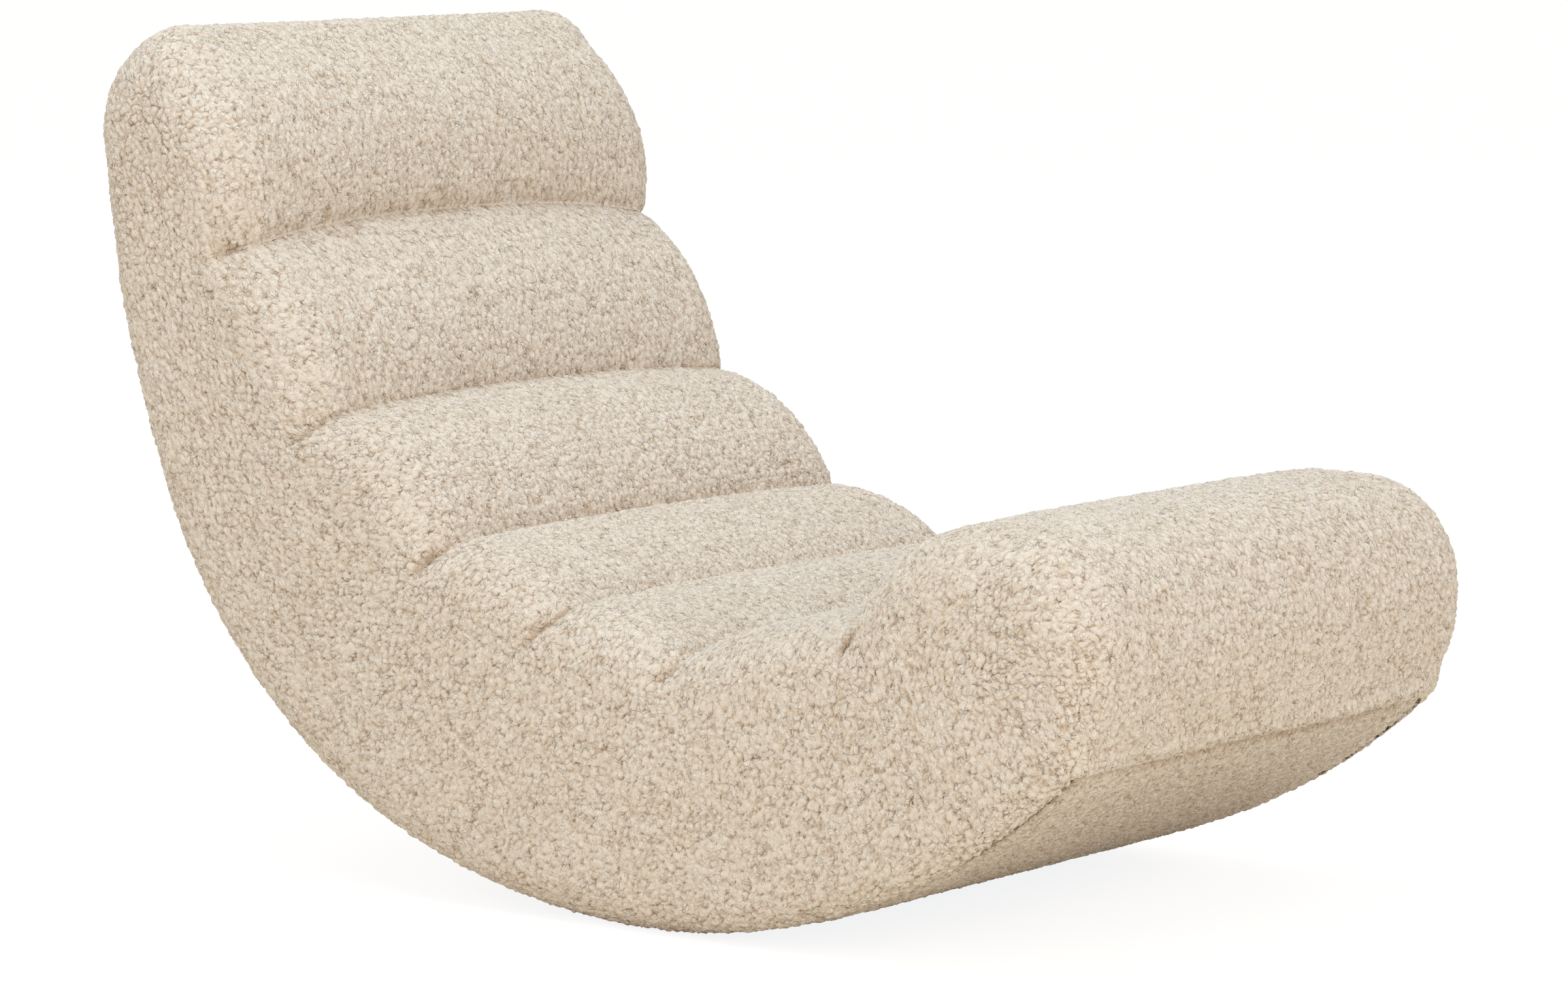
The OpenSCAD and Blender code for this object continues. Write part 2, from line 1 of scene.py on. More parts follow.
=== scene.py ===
"""Armless rocking armchair in curly pile cloth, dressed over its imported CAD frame.

Sections follow the order in which such a chair is put together. Then come the floor, the lamps and the
camera. Everything is in metres: width along X, the seat looks to -Y, up is +Z. Side view points are
[forward, up], and places along the chair are arc lengths on its outer curve, measured forward from the
floor contact.
"""
import bpy
import numpy as np
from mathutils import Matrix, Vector


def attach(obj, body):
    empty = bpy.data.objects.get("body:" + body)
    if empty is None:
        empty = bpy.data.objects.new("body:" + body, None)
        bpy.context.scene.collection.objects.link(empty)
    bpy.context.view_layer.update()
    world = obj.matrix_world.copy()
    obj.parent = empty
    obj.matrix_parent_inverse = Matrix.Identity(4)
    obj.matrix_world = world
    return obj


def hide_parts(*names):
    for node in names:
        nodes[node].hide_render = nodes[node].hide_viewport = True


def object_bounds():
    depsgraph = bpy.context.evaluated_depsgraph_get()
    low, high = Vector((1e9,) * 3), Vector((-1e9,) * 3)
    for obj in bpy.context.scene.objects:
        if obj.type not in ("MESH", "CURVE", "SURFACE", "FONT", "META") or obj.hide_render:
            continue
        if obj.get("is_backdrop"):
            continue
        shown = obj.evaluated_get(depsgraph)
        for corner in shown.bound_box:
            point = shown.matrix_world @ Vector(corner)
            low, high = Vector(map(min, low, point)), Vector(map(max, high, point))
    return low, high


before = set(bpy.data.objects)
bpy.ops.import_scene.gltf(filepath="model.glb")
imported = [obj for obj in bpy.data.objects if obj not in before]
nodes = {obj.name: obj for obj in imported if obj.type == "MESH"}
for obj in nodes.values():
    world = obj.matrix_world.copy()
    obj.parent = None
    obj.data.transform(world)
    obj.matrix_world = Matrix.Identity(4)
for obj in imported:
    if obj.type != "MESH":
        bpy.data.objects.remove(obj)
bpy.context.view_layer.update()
scene = bpy.context.scene


# ---------------- side frames, rib and skin
# Two side frames cut from birch plywood, the rib between them and the bent rocking skin, glued and
# screwed. Faces show rotary-cut grain, and cut edges show the thin layers, light and dark in turn.

class Value:
    """One output of a shader node. An operator on it adds the Math node of that name."""

    def __init__(self, finish, socket):
        self.finish, self.socket = finish, socket

    def maths(self, operation, *values):
        return self.finish.node("Math", dict(enumerate(values)), operation=operation)

    def __add__(self, other): return self.maths("ADD", self, other)
    def __radd__(self, other): return self.maths("ADD", other, self)
    def __sub__(self, other): return self.maths("SUBTRACT", self, other)
    def __rsub__(self, other): return self.maths("SUBTRACT", other, self)
    def __mul__(self, other): return self.maths("MULTIPLY", self, other)
    def __rmul__(self, other): return self.maths("MULTIPLY", other, self)
    def __truediv__(self, other): return self.maths("DIVIDE", self, other)
    def __abs__(self): return self.maths("ABSOLUTE", self)

    def wave(self, length):
        """Swings from 0 to 1 and back once every length metres."""
        return self.maths("PINGPONG", self / (length / 2), 1)

    def ease(self, low, high):
        """0 below low and 1 above high, smooth between."""
        return self.finish.node("MapRange", {"Value": self, "From Min": low, "From Max": high},
                                interpolation_type="SMOOTHSTEP")


class Finish:
    """A material of one Principled shader. Each named argument is a constant on a socket of it."""

    def __init__(self, name, **constants):
        self.material = bpy.data.materials.new(name)
        self.material.use_nodes = True
        self.tree = self.material.node_tree
        self.shader = self.tree.nodes["Principled BSDF"]
        self.place = self.node("TexCoord", out="Object")
        for socket, value in constants.items():
            self.shader.inputs[socket.replace("_", " ")].default_value = value

    def join(self, socket, value):
        if isinstance(value, Value):
            self.tree.links.new(value.socket, socket)
        else:
            socket.default_value = value

    def node(self, kind, sockets=None, out=0, stops=None, **settings):
        """Adds a node: its settings first, then the values or links of its sockets. Returns an output."""
        made = self.tree.nodes.new("ShaderNode" + kind)
        for setting, value in settings.items():
            setattr(made, setting, value)
        if stops:
            for _ in stops[2:]:
                made.color_ramp.elements.new(1.0)
            for element, (share, colour) in zip(made.color_ramp.elements, stops):
                element.position, element.color = share, (*colour, 1)
        for socket, value in (sockets or {}).items():
            self.join(made.inputs[socket], value)
        return Value(self, made.outputs[out])

    def axis(self, name):
        """The object's X, Y or Z coordinate."""
        return self.node("SeparateXYZ", {"Vector": self.place}, out=name)

    def noise(self, size, squeeze=(1, 1, 1), detail=3.0, rough=0.55, warp=0.0):
        """Soft noise of lumps about size metres across, made longer along an axis squeezed below 1."""
        where = self.node("Mapping", {"Vector": self.place, "Scale": squeeze})
        return self.node("TexNoise", {"Vector": where, "Scale": 1 / size, "Detail": detail,
                                      "Roughness": rough, "Distortion": warp})

    def mix(self, share, a, b):
        """Colour a where share is 0 and b where it is 1."""
        a, b = [(*c, 1) if isinstance(c, tuple) else c for c in (a, b)]
        return self.node("Mix", {0: share, 6: a, 7: b}, out=2, data_type="RGBA")

    def tones(self, share, *stops):
        """Colour ramp over share, with stops of (share, colour)."""
        return self.node("ValToRGB", {"Fac": share}, stops=stops)

    def dress(self, colour, roughness=None, relief=None, height=0.0005):
        """Joins the varying colour, roughness and relief to the shader. height is the relief's, in metres."""
        self.join(self.shader.inputs["Base Color"], colour)
        if roughness:
            self.join(self.shader.inputs["Roughness"], roughness)
        if relief:
            self.join(self.shader.inputs["Normal"],
                      self.node("Bump", {"Height": relief, "Distance": height, "Strength": 1.0}))
        return self.material


def clad(material, *names):
    """Gives CAD nodes their material."""
    for name in names:
        nodes[name].data.materials.clear()
        nodes[name].data.materials.append(material)


PLY_LAYER = 0.0030

birch = Finish("birch_plywood", Coat_Weight=0.1, Coat_Roughness=0.4)
ply_grain = birch.noise(0.010, squeeze=(1, 0.06, 1), detail=6)
facing = abs(birch.node("SeparateXYZ", {"Vector": birch.node("TexCoord", out="Normal")}, out="X"))
cut_edge = 1 - facing.ease(0.5, 0.8)
face_tone = birch.tones(ply_grain, (0.30, (0.50, 0.33, 0.17)), (0.70, (0.68, 0.50, 0.29)))
edge_tone = birch.mix(birch.axis("X").wave(PLY_LAYER).ease(0.3, 0.7), (0.30, 0.17, 0.08), (0.62, 0.45, 0.26))
clad(birch.dress(birch.mix(cut_edge, face_tone, edge_tone), 0.42 + 0.2 * ply_grain, ply_grain, 0.0002),
     "left_side_frame", "right_side_frame", "centre_rib")

bent_ply = Finish("bent_plywood", Coat_Weight=0.1, Coat_Roughness=0.4)
skin_grain = bent_ply.noise(0.010, squeeze=(0.05, 1, 1), detail=6)
clad(bent_ply.dress(bent_ply.tones(skin_grain, (0.30, (0.48, 0.31, 0.16)), (0.70, (0.66, 0.48, 0.28))),
                    0.42 + 0.2 * skin_grain, skin_grain, 0.0002), "rocker_skin")


# ---------------- rails and glue blocks
# Boards of sawn pine across the frame under each groove, three more on the skin, and triangular blocks
# glued into the corners. Late wood runs along each board as darker, smoother stripes.

pine = Finish("sawn_pine")
year_rings = pine.noise(0.016, squeeze=(0.03, 1, 1), detail=2, warp=1.5)
late_wood = year_rings.maths("PINGPONG", year_rings * 7, 1).ease(0.55, 0.95)
fibres = pine.noise(0.0012, squeeze=(0.02, 1, 1))
pine_tone = pine.mix(late_wood, (0.74, 0.54, 0.30), (0.50, 0.28, 0.11))
clad(pine.dress(pine_tone, 0.72 - 0.15 * late_wood, fibres + 0.4 * late_wood, 0.0003),
     "head_rail", "neck_rail", "shoulder_rail", "waist_rail", "hip_rail", "thigh_rail", "knee_rail",
     "nose_rail", "rear_floor_rail", "middle_floor_rail", "front_floor_rail", "glue_blocks")


# ---------------- balance bar and screws
# A bar of rolled steel, painted grey against rust, that weights the front roll, and the zinc-plated
# countersunk screws that hold the rails and the bar to the side frames.

bar_paint = Finish("painted_bar")
orange_peel = bar_paint.noise(0.0025, detail=2)
wear = bar_paint.noise(0.030, detail=5).ease(0.62, 0.70)
clad(bar_paint.dress(bar_paint.mix(wear, (0.085, 0.09, 0.10), (0.16, 0.10, 0.06)),
                     0.38 + 0.3 * wear, orange_peel - 0.5 * wear, 0.0002), "balance_bar")

zinc = Finish("zinc_plate", Metallic=1.0)
spangle = zinc.noise(0.0015, detail=4)
clad(zinc.dress(zinc.tones(spangle, (0.3, (0.52, 0.53, 0.52)), (0.7, (0.74, 0.74, 0.70))),
                0.25 + 0.25 * spangle, spangle, 0.00005), "frame_screws")


# ---------------- back board
# A sheet of thin fibreboard that closes the back above the rocking skin, glued and stapled to the side
# frames. Pressed brown fibres show on its matt face.

fibreboard = Finish("fibreboard")
pulp = fibreboard.noise(0.0018, detail=5, rough=0.7)
clad(fibreboard.dress(fibreboard.tones(pulp, (0.32, (0.20, 0.12, 0.06)), (0.68, (0.40, 0.27, 0.15))),
                      0.75 + 0.15 * pulp, pulp, 0.00015), "back_board")


# ---------------- webbing, deck cloth and groove ties
# Elastic webbing stapled across the side frames, a sheet of white lining cloth over it, and the tie
# strips of the same cloth that are sewn into the grooves and hold them down.

webbing = Finish("elastic_webbing", Sheen_Weight=0.15, Sheen_Roughness=0.5)
ribs = webbing.axis("X").wave(0.0022)
cords = (webbing.axis("Y") + webbing.axis("Z")).wave(0.0035)
clad(webbing.dress(webbing.mix(cords.ease(0.2, 0.8), (0.020, 0.018, 0.017), (0.075, 0.070, 0.066)),
                   0.65 + 0.2 * ribs, ribs + cords, 0.0004), "back_webbing", "seat_webbing")

lining = Finish("lining_cloth", Sheen_Weight=0.2, Sheen_Roughness=0.4)
weft = lining.axis("X").wave(0.0009)
warp = (lining.axis("Y") + lining.axis("Z")).wave(0.0009)
clad(lining.dress(lining.mix(weft * warp, (0.60, 0.57, 0.50), (0.80, 0.78, 0.72)),
                  0.80 + 0.15 * weft, weft + warp, 0.0002), "deck_cloth", "groove_ties")


# ---------------- underside cover
# Curly pile cloth over a sheet of wadding, wrapped round the outside of the frame from the seam under
# the front roll to the neck. Its edges are sewn to the side panels in a fine crease, and one more seam
# crosses the back.

# Radius and length of the outer curve's arcs, and the lengths of head and roll on it
ROCKER_R, ROCKER_FRONT, ROCKER_REAR = 0.735, 0.543, 0.287
LOWER_BACK_R, LOWER_BACK = 0.580, 0.470
UPPER_BACK_R, UPPER_BACK = 1.330, 0.365
HEAD, NOSE = 0.148, 0.153
FLOOR_FLAT, FLOOR_GAP = 0.0005, 0.0002
# Half the width, the pads' thickness, and the lower edges' radii at the front
EDGE_X, SIDE_PAD = 0.344, 0.042
FRAME_X = EDGE_X - SIDE_PAD
LEFT_CORNER, RIGHT_CORNER = 0.028, 0.054
CORNER_FROM, CORNER_OVER = -0.10, 0.30
# Grid steps, and how far a piece runs on inside its neighbour, drawn in
STEP, COVER_STEP = 0.0023, 0.0028
RUN_ON, DRAWN_IN = 0.003, 0.002
# Size, height and usual level of the curls, their inset, and how a crease presses them flat and darkens the
# pile's colour as painted shade
CURL, CURL_RISE, CURL_LEVEL, SURFACE_INSET = 0.0082, 0.0046, 0.62, 0.0008
PRESSED_AT, LESS_RISE, PAINTED_CREASE_SHADE, SEAM_REACH = 0.006, 0.4, 0.6, 0.004
# A piece's own map: size and margin of its ring, and place, spacing and radius of the ends' fans
MAP_SIZE, MAP_EDGE, FAN_AT, FAN_STEP, FAN_R = 0.93, 0.002, (0.03, 0.97), 0.06, 0.02
# The cover's thickness, which tapers to the front, and its seams
COVER_T, COVER_END_T, COVER_TAPER = 0.014, 0.003, 0.012
BACK_SEAM_AT, BACK_SEAM_PULL = -0.883, 0.0025
EDGE_PULL, EDGE_WIDTH, LEFT_MORE, RIGHT_MORE = 0.0035, 0.0045, 0.0045, -0.0025
EDGE_FROM, EDGE_OVER = 0.05, 0.20
FOLD_PULL, FOLD_GATHER, FOLD_WIDTH, FOLD_FADE = 0.003, 0.007, 0.012, 0.05
LINING_COLUMNS, PANEL_FILL = 9, 0.7

seam_at = ROCKER_FRONT
waist_end = -(ROCKER_REAR + LOWER_BACK)
back_end = waist_end - UPPER_BACK
neck_at = back_end + HEAD


def arc_end(start, turned_from, turned_to, r):
    """End of an arc of radius r that leaves start at one heading and reaches another, turning left
    where r is positive: start + r (sin to - sin from, cos from - cos to)."""
    return np.stack([start[0] + r * (np.sin(turned_to) - np.sin(turned_from)),
                     start[1] + r * (np.cos(turned_from) - np.cos(turned_to))], -1)


bottom = np.array([0, -FLOOR_FLAT])
rear_turn = -ROCKER_REAR / ROCKER_R
rear_point = arc_end(bottom, 0, rear_turn, ROCKER_R)
waist_turn = rear_turn - LOWER_BACK / LOWER_BACK_R
waist_point = arc_end(rear_point, rear_turn, waist_turn, LOWER_BACK_R)


def heading(s):
    """Heading of the outer curve at place s: arc length over radius, summed along its three arcs."""
    return np.where(s > -ROCKER_REAR, s / ROCKER_R,
                    np.where(s > waist_end, rear_turn + (s + ROCKER_REAR) / LOWER_BACK_R,
                             waist_turn + (s - waist_end) / UPPER_BACK_R))


def onward(s):
    """Side view direction of the outer curve at place s, towards the front."""
    return np.stack([np.cos(heading(s)), np.sin(heading(s))], -1)


def inward(s):
    """Side view direction square to the outer curve at place s, into the chair."""
    return np.stack([-np.sin(heading(s)), np.cos(heading(s))], -1)


def at(s, t):
    """Side view point at depth t, square to the outer curve at place s."""
    s, h = np.asarray(s), heading(s)
    on_curve = np.where((s > -ROCKER_REAR)[..., None], arc_end(bottom, 0, h, ROCKER_R),
                        np.where((s > waist_end)[..., None], arc_end(rear_point, rear_turn, h, LOWER_BACK_R),
                                 arc_end(waist_point, waist_turn, h, UPPER_BACK_R)))
    return on_curve + np.asarray(t)[..., None] * inward(s)


def placed(x, point):
    """Points in space: x across, and a side view point's forward and up as -Y and Z."""
    x, forward, up = np.broadcast_arrays(x, point[..., 0], point[..., 1])
    return np.stack([x, -forward, up], -1)


def even(a, b, step=STEP):
    """Evenly spaced values from a to b, no further apart than step."""
    return np.linspace(a, b, int(np.ceil(abs(b - a) / step)) + 1)


def smooth(k):
    """0 below 0, 1 above 1, and 3k^2 - 2k^3 between."""
    k = np.clip(k, 0, 1)
    return k * k * (3 - 2 * k)


def scatter(cell, salt):
    """A fixed pseudo-random number from 0 to 1 for each whole-numbered cell of space."""
    n = (cell * np.array([73856093, 19349663, 83492791])).sum(-1) + salt * 2654435761
    n = (n ^ (n >> 13)) * 1274126177 & 0xFFFFFFFF
    n = (n ^ (n >> 16)) * 2246822519 & 0xFFFFFFFF
    return ((n ^ (n >> 15)) & 0xFFFFFF) / 0xFFFFFF


def curls(points):
    """Height from 0 to 1 of the curls of the pile. Each curl has a seed, jittered in a cubic lattice,
    and a height of its own. The pile is low in the creases, where the two nearest seeds are equally
    far, and how deep a crease is depends on the two curls that meet in it."""
    q = points / CURL
    q = q + 0.16 * np.sin(q[..., [1, 2, 0]] * 2.1 + 0.7) + 0.10 * np.sin(q[..., [2, 0, 1]] * 4.3)
    home = np.floor(q).astype(np.int64)
    first = np.full(q.shape[:-1], 9.0)
    second = first.copy()
    own, next_own = np.zeros_like(first), np.zeros_like(first)
    for step in np.stack(np.meshgrid(*[(-1, 0, 1)] * 3), -1).reshape(-1, 3):
        cell = home + step
        seed = cell + 0.5 + 0.8 * (np.stack([scatter(cell, k) for k in (1, 2, 3)], -1) - 0.5)
        d = np.sqrt(((q - seed) ** 2).sum(-1))
        tag = scatter(cell, 4)
        nearer, between = d < first, (d >= first) & (d < second)
        second = np.where(nearer, first, np.where(between, d, second))
        next_own = np.where(nearer, own, np.where(between, tag, next_own))
        first, own = np.where(nearer, d, first), np.where(nearer, tag, own)
    dome = np.sqrt(np.clip((second - first) / 0.55, 0, 1))
    shared = 0.50 + 0.50 * ((own + next_own) * 5.7 % 1)
    return (1 - (1 - dome) * shared) * (0.70 + 0.30 * own)


def unit(vectors):
    return vectors / np.maximum(np.linalg.norm(vectors, axis=-1, keepdims=True), 1e-12)


def outward(grid):
    """Unit vectors square to a grid of points, on the side away from its middle."""
    square = np.cross(np.gradient(grid, axis=0), np.gradient(grid, axis=1))
    at_pole = np.linalg.norm(square, axis=-1, keepdims=True) < 1e-10
    if (square * (grid - grid.mean((0, 1)))).sum() < 0:
        square = -square
    return np.where(at_pole, np.sign(grid[..., :1]) * np.array([1.0, 0, 0]), unit(square))


def curled(grid, sunk, seams):
    """Raises the curls on a grid of points, square to its surface, and lowers it by sunk, in metres.
    seams are the places at the first and last row: close to them the cloth only moves square to the
    chair's length, so that neighbours still meet. Where the cloth is sunk the pile lies flat, and the
    pile's height, which sets the cloth's colour, is lowered further there as painted shade in the creases.
    Returns the new grid and the pile's height, 0 to 1."""
    square = outward(grid)
    for row, place in seams:
        along = placed(0, onward(place))
        near = np.exp(-np.abs(((grid - grid[row]) * along).sum(-1, keepdims=True)) / SEAM_REACH)
        square = unit(square - near * (square * along).sum(-1, keepdims=True) * along)
    height = curls(grid)
    pressed = smooth(sunk / PRESSED_AT)
    rise = CURL_RISE * (height - CURL_LEVEL) * (1 - LESS_RISE * pressed) - SURFACE_INSET - sunk
    grown = grid + square * rise[..., None]
    grown[..., 2] = np.maximum(grown[..., 2], FLOOR_GAP)
    # The pile's height sets the cloth's colour, so lowering it where the cloth is sunk is painted shade in
    # the creases.
    return grown, height * (1 - PAINTED_CREASE_SHADE * pressed)


def crease(distance, depth, width=0.0035):
    """How far a seam pulls the cloth in at a distance from it: depth times e to the -distance/width."""
    return depth * np.exp(-np.abs(distance) / width)


def add(name, data):
    """Puts a new object into the scene."""
    made = bpy.data.objects.new(name, data)
    scene.collection.objects.link(made)
    return made


def make_mesh(name, points, quads, hidden, places, height):
    """A closed mesh of quads, given as four point numbers each. A quad with two corners in one point
    becomes a triangle. Faces are turned outwards by the sign of the volume that they enclose. places are
    the corners' places on the piece's own map, and hidden faces are shaded flat."""
    a, b, c, d = (points[quads[:, k]] for k in range(4))
    if (np.cross(a, b) * c).sum() + (np.cross(a, c) * d).sum() < 0:
        quads, places = quads[:, ::-1], places[:, ::-1]
    kept = quads != np.roll(quads, -1, axis=1)
    four, three = kept.all(1), kept.sum(1) == 3
    corner = np.concatenate([quads[four].ravel(), quads[three][kept[three]]])
    corner_place = np.concatenate([places[four].reshape(-1, 2), places[three][kept[three]]])
    used, corner = np.unique(corner, return_inverse=True)
    fours, threes = four.sum(), three.sum()
    mesh = bpy.data.meshes.new(name)
    mesh.vertices.add(len(used))
    mesh.vertices.foreach_set("co", points[used].astype(np.float32).ravel())
    mesh.loops.add(len(corner))
    mesh.loops.foreach_set("vertex_index", corner.astype(np.int32))
    mesh.polygons.add(fours + threes)
    mesh.polygons.foreach_set("loop_start", np.concatenate(
        [4 * np.arange(fours), 4 * fours + 3 * np.arange(threes)]).astype(np.int32))
    mesh.update(calc_edges=True)
    flat = mesh.attributes.new("sharp_face", "BOOLEAN", "FACE")
    flat.data.foreach_set("value", np.concatenate([hidden[four], hidden[three]]))
    # The pile's height drives the cloth's colour: low pile is dark, which is painted shade in crevices and
    # creases.
    pile = mesh.attributes.new("pile", "FLOAT", "POINT")
    pile.data.foreach_set("value", height[used].astype(np.float32))
    own_map = mesh.uv_layers.new(name="OFBake")
    own_map.uv.foreach_set("vector", corner_place.astype(np.float32).ravel())
    return add(name, mesh)


def cells(grid):
    """The four corners of every cell of a grid of point numbers or of places."""
    corners = np.stack([grid[:-1, :-1], grid[1:, :-1], grid[1:, 1:], grid[:-1, 1:]], 2)
    return corners.reshape(-1, 4, *grid.shape[2:])


def map_of(ring, rows, columns):
    """Places on the map of the corners of a ring's quads: rows upwards, columns across, both at one
    scale by the usual distance between neighbours."""
    tall = np.median(np.linalg.norm(np.diff(ring, axis=0), axis=-1)) * rows
    wide = np.median(np.linalg.norm(np.diff(ring, axis=1), axis=-1)) * columns
    scale = MAP_SIZE / max(tall, wide)
    v, u = np.meshgrid(np.linspace(MAP_EDGE, tall * scale, rows + 1),
                       np.linspace(MAP_EDGE, wide * scale, columns + 1), indexing="ij")
    return cells(np.stack([u, v], -1))


def tube(shown, back):
    """Closes a shown grid with a hidden one that leads from its last column back to its first. Each
    open end runs on inside the neighbour, drawn in, and is closed by a fan. Returns the points, the
    quads, which of them are hidden, their places on the map and the shown points' numbers."""
    ring = np.concatenate([shown, back], 1)
    ends = []
    for row, next_row in ((ring[0], ring[1]), (ring[-1], ring[-2])):
        beyond = unit(row.mean(0) - next_row.mean(0)) * RUN_ON
        ends.append((row + unit(row.mean(0) - row) * DRAWN_IN + beyond)[None])
    ring = np.concatenate([ends[0], ring, ends[1]])
    rows, columns = ring.shape[:2]
    number = np.arange(rows * columns).reshape(rows, columns)
    closed = np.concatenate([number, number[:, :1]], 1)
    points = np.concatenate([ring.reshape(-1, 3), ring[[0, -1]].mean(1)])
    quads, places = [cells(closed)], [map_of(ring, rows - 1, columns)]
    covered = (np.arange(columns) >= shown.shape[1] - 1) | (np.arange(rows - 1) % (rows - 2) == 0)[:, None]
    turn = np.linspace(0, 2 * np.pi, columns + 1)
    rim = np.stack([np.cos(turn), np.sin(turn)], -1) * FAN_R
    for end, row in enumerate((closed[0][::-1], closed[-1])):
        middle = np.full(columns, rows * columns + end)
        quads.append(np.stack([row[:-1], row[1:], middle, middle], -1))
        hub = np.array([FAN_AT[0] + FAN_STEP * end, FAN_AT[1]])
        places.append(np.stack([hub + rim[:-1], hub + rim[1:], hub + 0 * rim[1:], hub + 0 * rim[1:]], 1))
    hidden = np.concatenate([covered.ravel(), np.ones(2 * columns, bool)])
    return points, np.concatenate(quads), hidden, np.concatenate(places), number[1:-1, :shown.shape[1]]


def on_points(points, number, values, rest=1.0):
    """One value for each point: those of the numbered points, and rest for the others."""
    every = np.full(len(points), rest)
    every[number] = values
    return every


def upholster(name, form, height, node):
    """Makes a padded piece in the pile cloth that stands for a CAD node."""
    points, quads, hidden, places, number = form
    piece = make_mesh(name, points, quads, hidden, places, on_points(points, number, height))
    piece.data.materials.append(pile_cloth)
    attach(piece, "root")
    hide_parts(node)


boucle = Finish("pile_cloth", Roughness=0.94, Sheen_Weight=0.12, Sheen_Roughness=0.5,
                Sheen_Tint=(1.0, 0.97, 0.92, 1), Specular_IOR_Level=0.12)
# The pile's height darkens the colour where it is low: painted shade in the crevices between curls and in
# creases.
pile_height_and_shade = boucle.node("Attribute", out="Fac", attribute_name="pile")
tangle = boucle.node("TexNoise", {"Vector": boucle.place, "Scale": 1 / 0.006, "Detail": 1.0}, out="Color")
tangled = boucle.node("VectorMath", {0: tangle, 1: (0.006, 0.006, 0.006), 2: boucle.place},
                      operation="MULTIPLY_ADD")
# Loops and threads are lighter at their middles and darker at their edges, in colour as well as relief:
# painted light and shade on the curls.
loop = 1 - boucle.node("TexVoronoi", {"Vector": tangled, "Scale": 1 / 0.0040}, out="Distance")
thread = 1 - boucle.node("TexVoronoi", {"Vector": tangled, "Scale": 1 / 0.0018}, out="Distance")
strands_and_shade = 0.65 * loop.ease(0.35, 0.9) + 0.35 * thread.ease(0.3, 0.9)
# Thin dark lines where the curls part, in colour as well as relief: painted shade in the crevices.
parting = boucle.node("TexVoronoi", {"Vector": tangled, "Scale": 1 / 0.0072}, out="Distance",
                      feature="DISTANCE_TO_EDGE")
folds_and_shade = 1 - (1 - parting.ease(0.0, 0.09)) * boucle.noise(0.009).ease(0.42, 0.62)
# shade is the cloth's painted light and shade, from its crevices to the tops of the curls.
shade = 0.52 * pile_height_and_shade.ease(0.10, 0.75) + 0.24 * strands_and_shade + 0.24 * folds_and_shade
patchy = boucle.noise(0.09, detail=3).ease(0.3, 0.7)
# The ramps run from dark brown, painted shade in the crevices, to pale cream, painted light on the tops of
# the curls; patchy picks between two ramps a little apart at random.
cloth_tone = boucle.mix(
    patchy,
    boucle.tones(shade, (0.10, (0.31, 0.20, 0.115)), (0.38, (0.60, 0.465, 0.345)),
                 (0.62, (0.745, 0.62, 0.50)), (0.95, (0.84, 0.74, 0.635))),
    boucle.tones(shade, (0.10, (0.33, 0.22, 0.13)), (0.38, (0.62, 0.485, 0.37)),
                 (0.62, (0.76, 0.64, 0.525)), (0.95, (0.86, 0.765, 0.665))))
pile_cloth = boucle.dress(cloth_tone, None, strands_and_shade + 0.6 * folds_and_shade, 0.0013)


def edge_radius(s, x):
    """Radius of the rounded lower edge at place s, for an x of either side. Towards the front it is
    tighter on the left and wider on the right."""
    change = np.where(x < 0, LEFT_CORNER, RIGHT_CORNER) - SIDE_PAD
    return SIDE_PAD + change * smooth((s - CORNER_FROM) / CORNER_OVER)


def gathers(x):
    """Uneven pull from 0 to 1 along a seam: three waves across the chair, 0.5 + sum / 2."""
    return 0.5 + 0.25 * np.sin(9 * x + 0.3) + 0.15 * np.sin(25 * x - 1) + 0.10 * np.sin(61 * x)


def edge_pull(s, x, distance):
    """Pull of the seam along the lower edge. Towards the front it grows on the left and fades on the
    right."""
    more = np.where(x < 0, LEFT_MORE, RIGHT_MORE) * smooth((s - EDGE_FROM) / EDGE_OVER)
    return crease(distance, EDGE_PULL + more, EDGE_WIDTH)


s_cover, across = even(neck_at, seam_at, COVER_STEP)[:, None], even(-1, 1, COVER_STEP / FRAME_X)
half_width = EDGE_X - edge_radius(s_cover, across)
from_edge = half_width * (1 - np.abs(across))
fold = FOLD_PULL + (FOLD_PULL + FOLD_GATHER * gathers(across * half_width)) * smooth(from_edge / FOLD_FADE)
cover_sunk = (edge_pull(s_cover, across, from_edge) + crease(s_cover - BACK_SEAM_AT, BACK_SEAM_PULL)
              + crease(seam_at - s_cover, fold, FOLD_WIDTH))
shown, height = curled(placed(across * half_width, at(s_cover, 0)), cover_sunk,
                       [(0, neck_at), (-1, seam_at)])
thickness = COVER_END_T + (COVER_T - COVER_END_T) * smooth((seam_at - s_cover) / COVER_TAPER)
back_across = np.linspace(1, -1, LINING_COLUMNS)
half_inside = np.where(back_across < 0, half_width[:, :1], half_width[:, -1:]) - DRAWN_IN
inside = placed(back_across * half_inside, at(s_cover, thickness))
upholster("underside_cloth", tube(shown, inside), height, "underside_cover")


# ---------------- side pads
# Curly pile cloth over 42 mm of foam on the outside of each side frame, between the deck and the
# rounded lower edge, where it is sewn to the underside cover. The face swells a little.

# The face's swell, its usual height, the rows' step, and the hidden inner side. A seam that runs up a
# side fades from SEAM_END on, over as much again
SIDE_FULLNESS, FACE_HEIGHT, ROW_STEP = 0.006, 0.17, STEP / 0.75
INNER_LOW, INNER_GAP, SEAM_END = 0.005, 0.002, 0.03
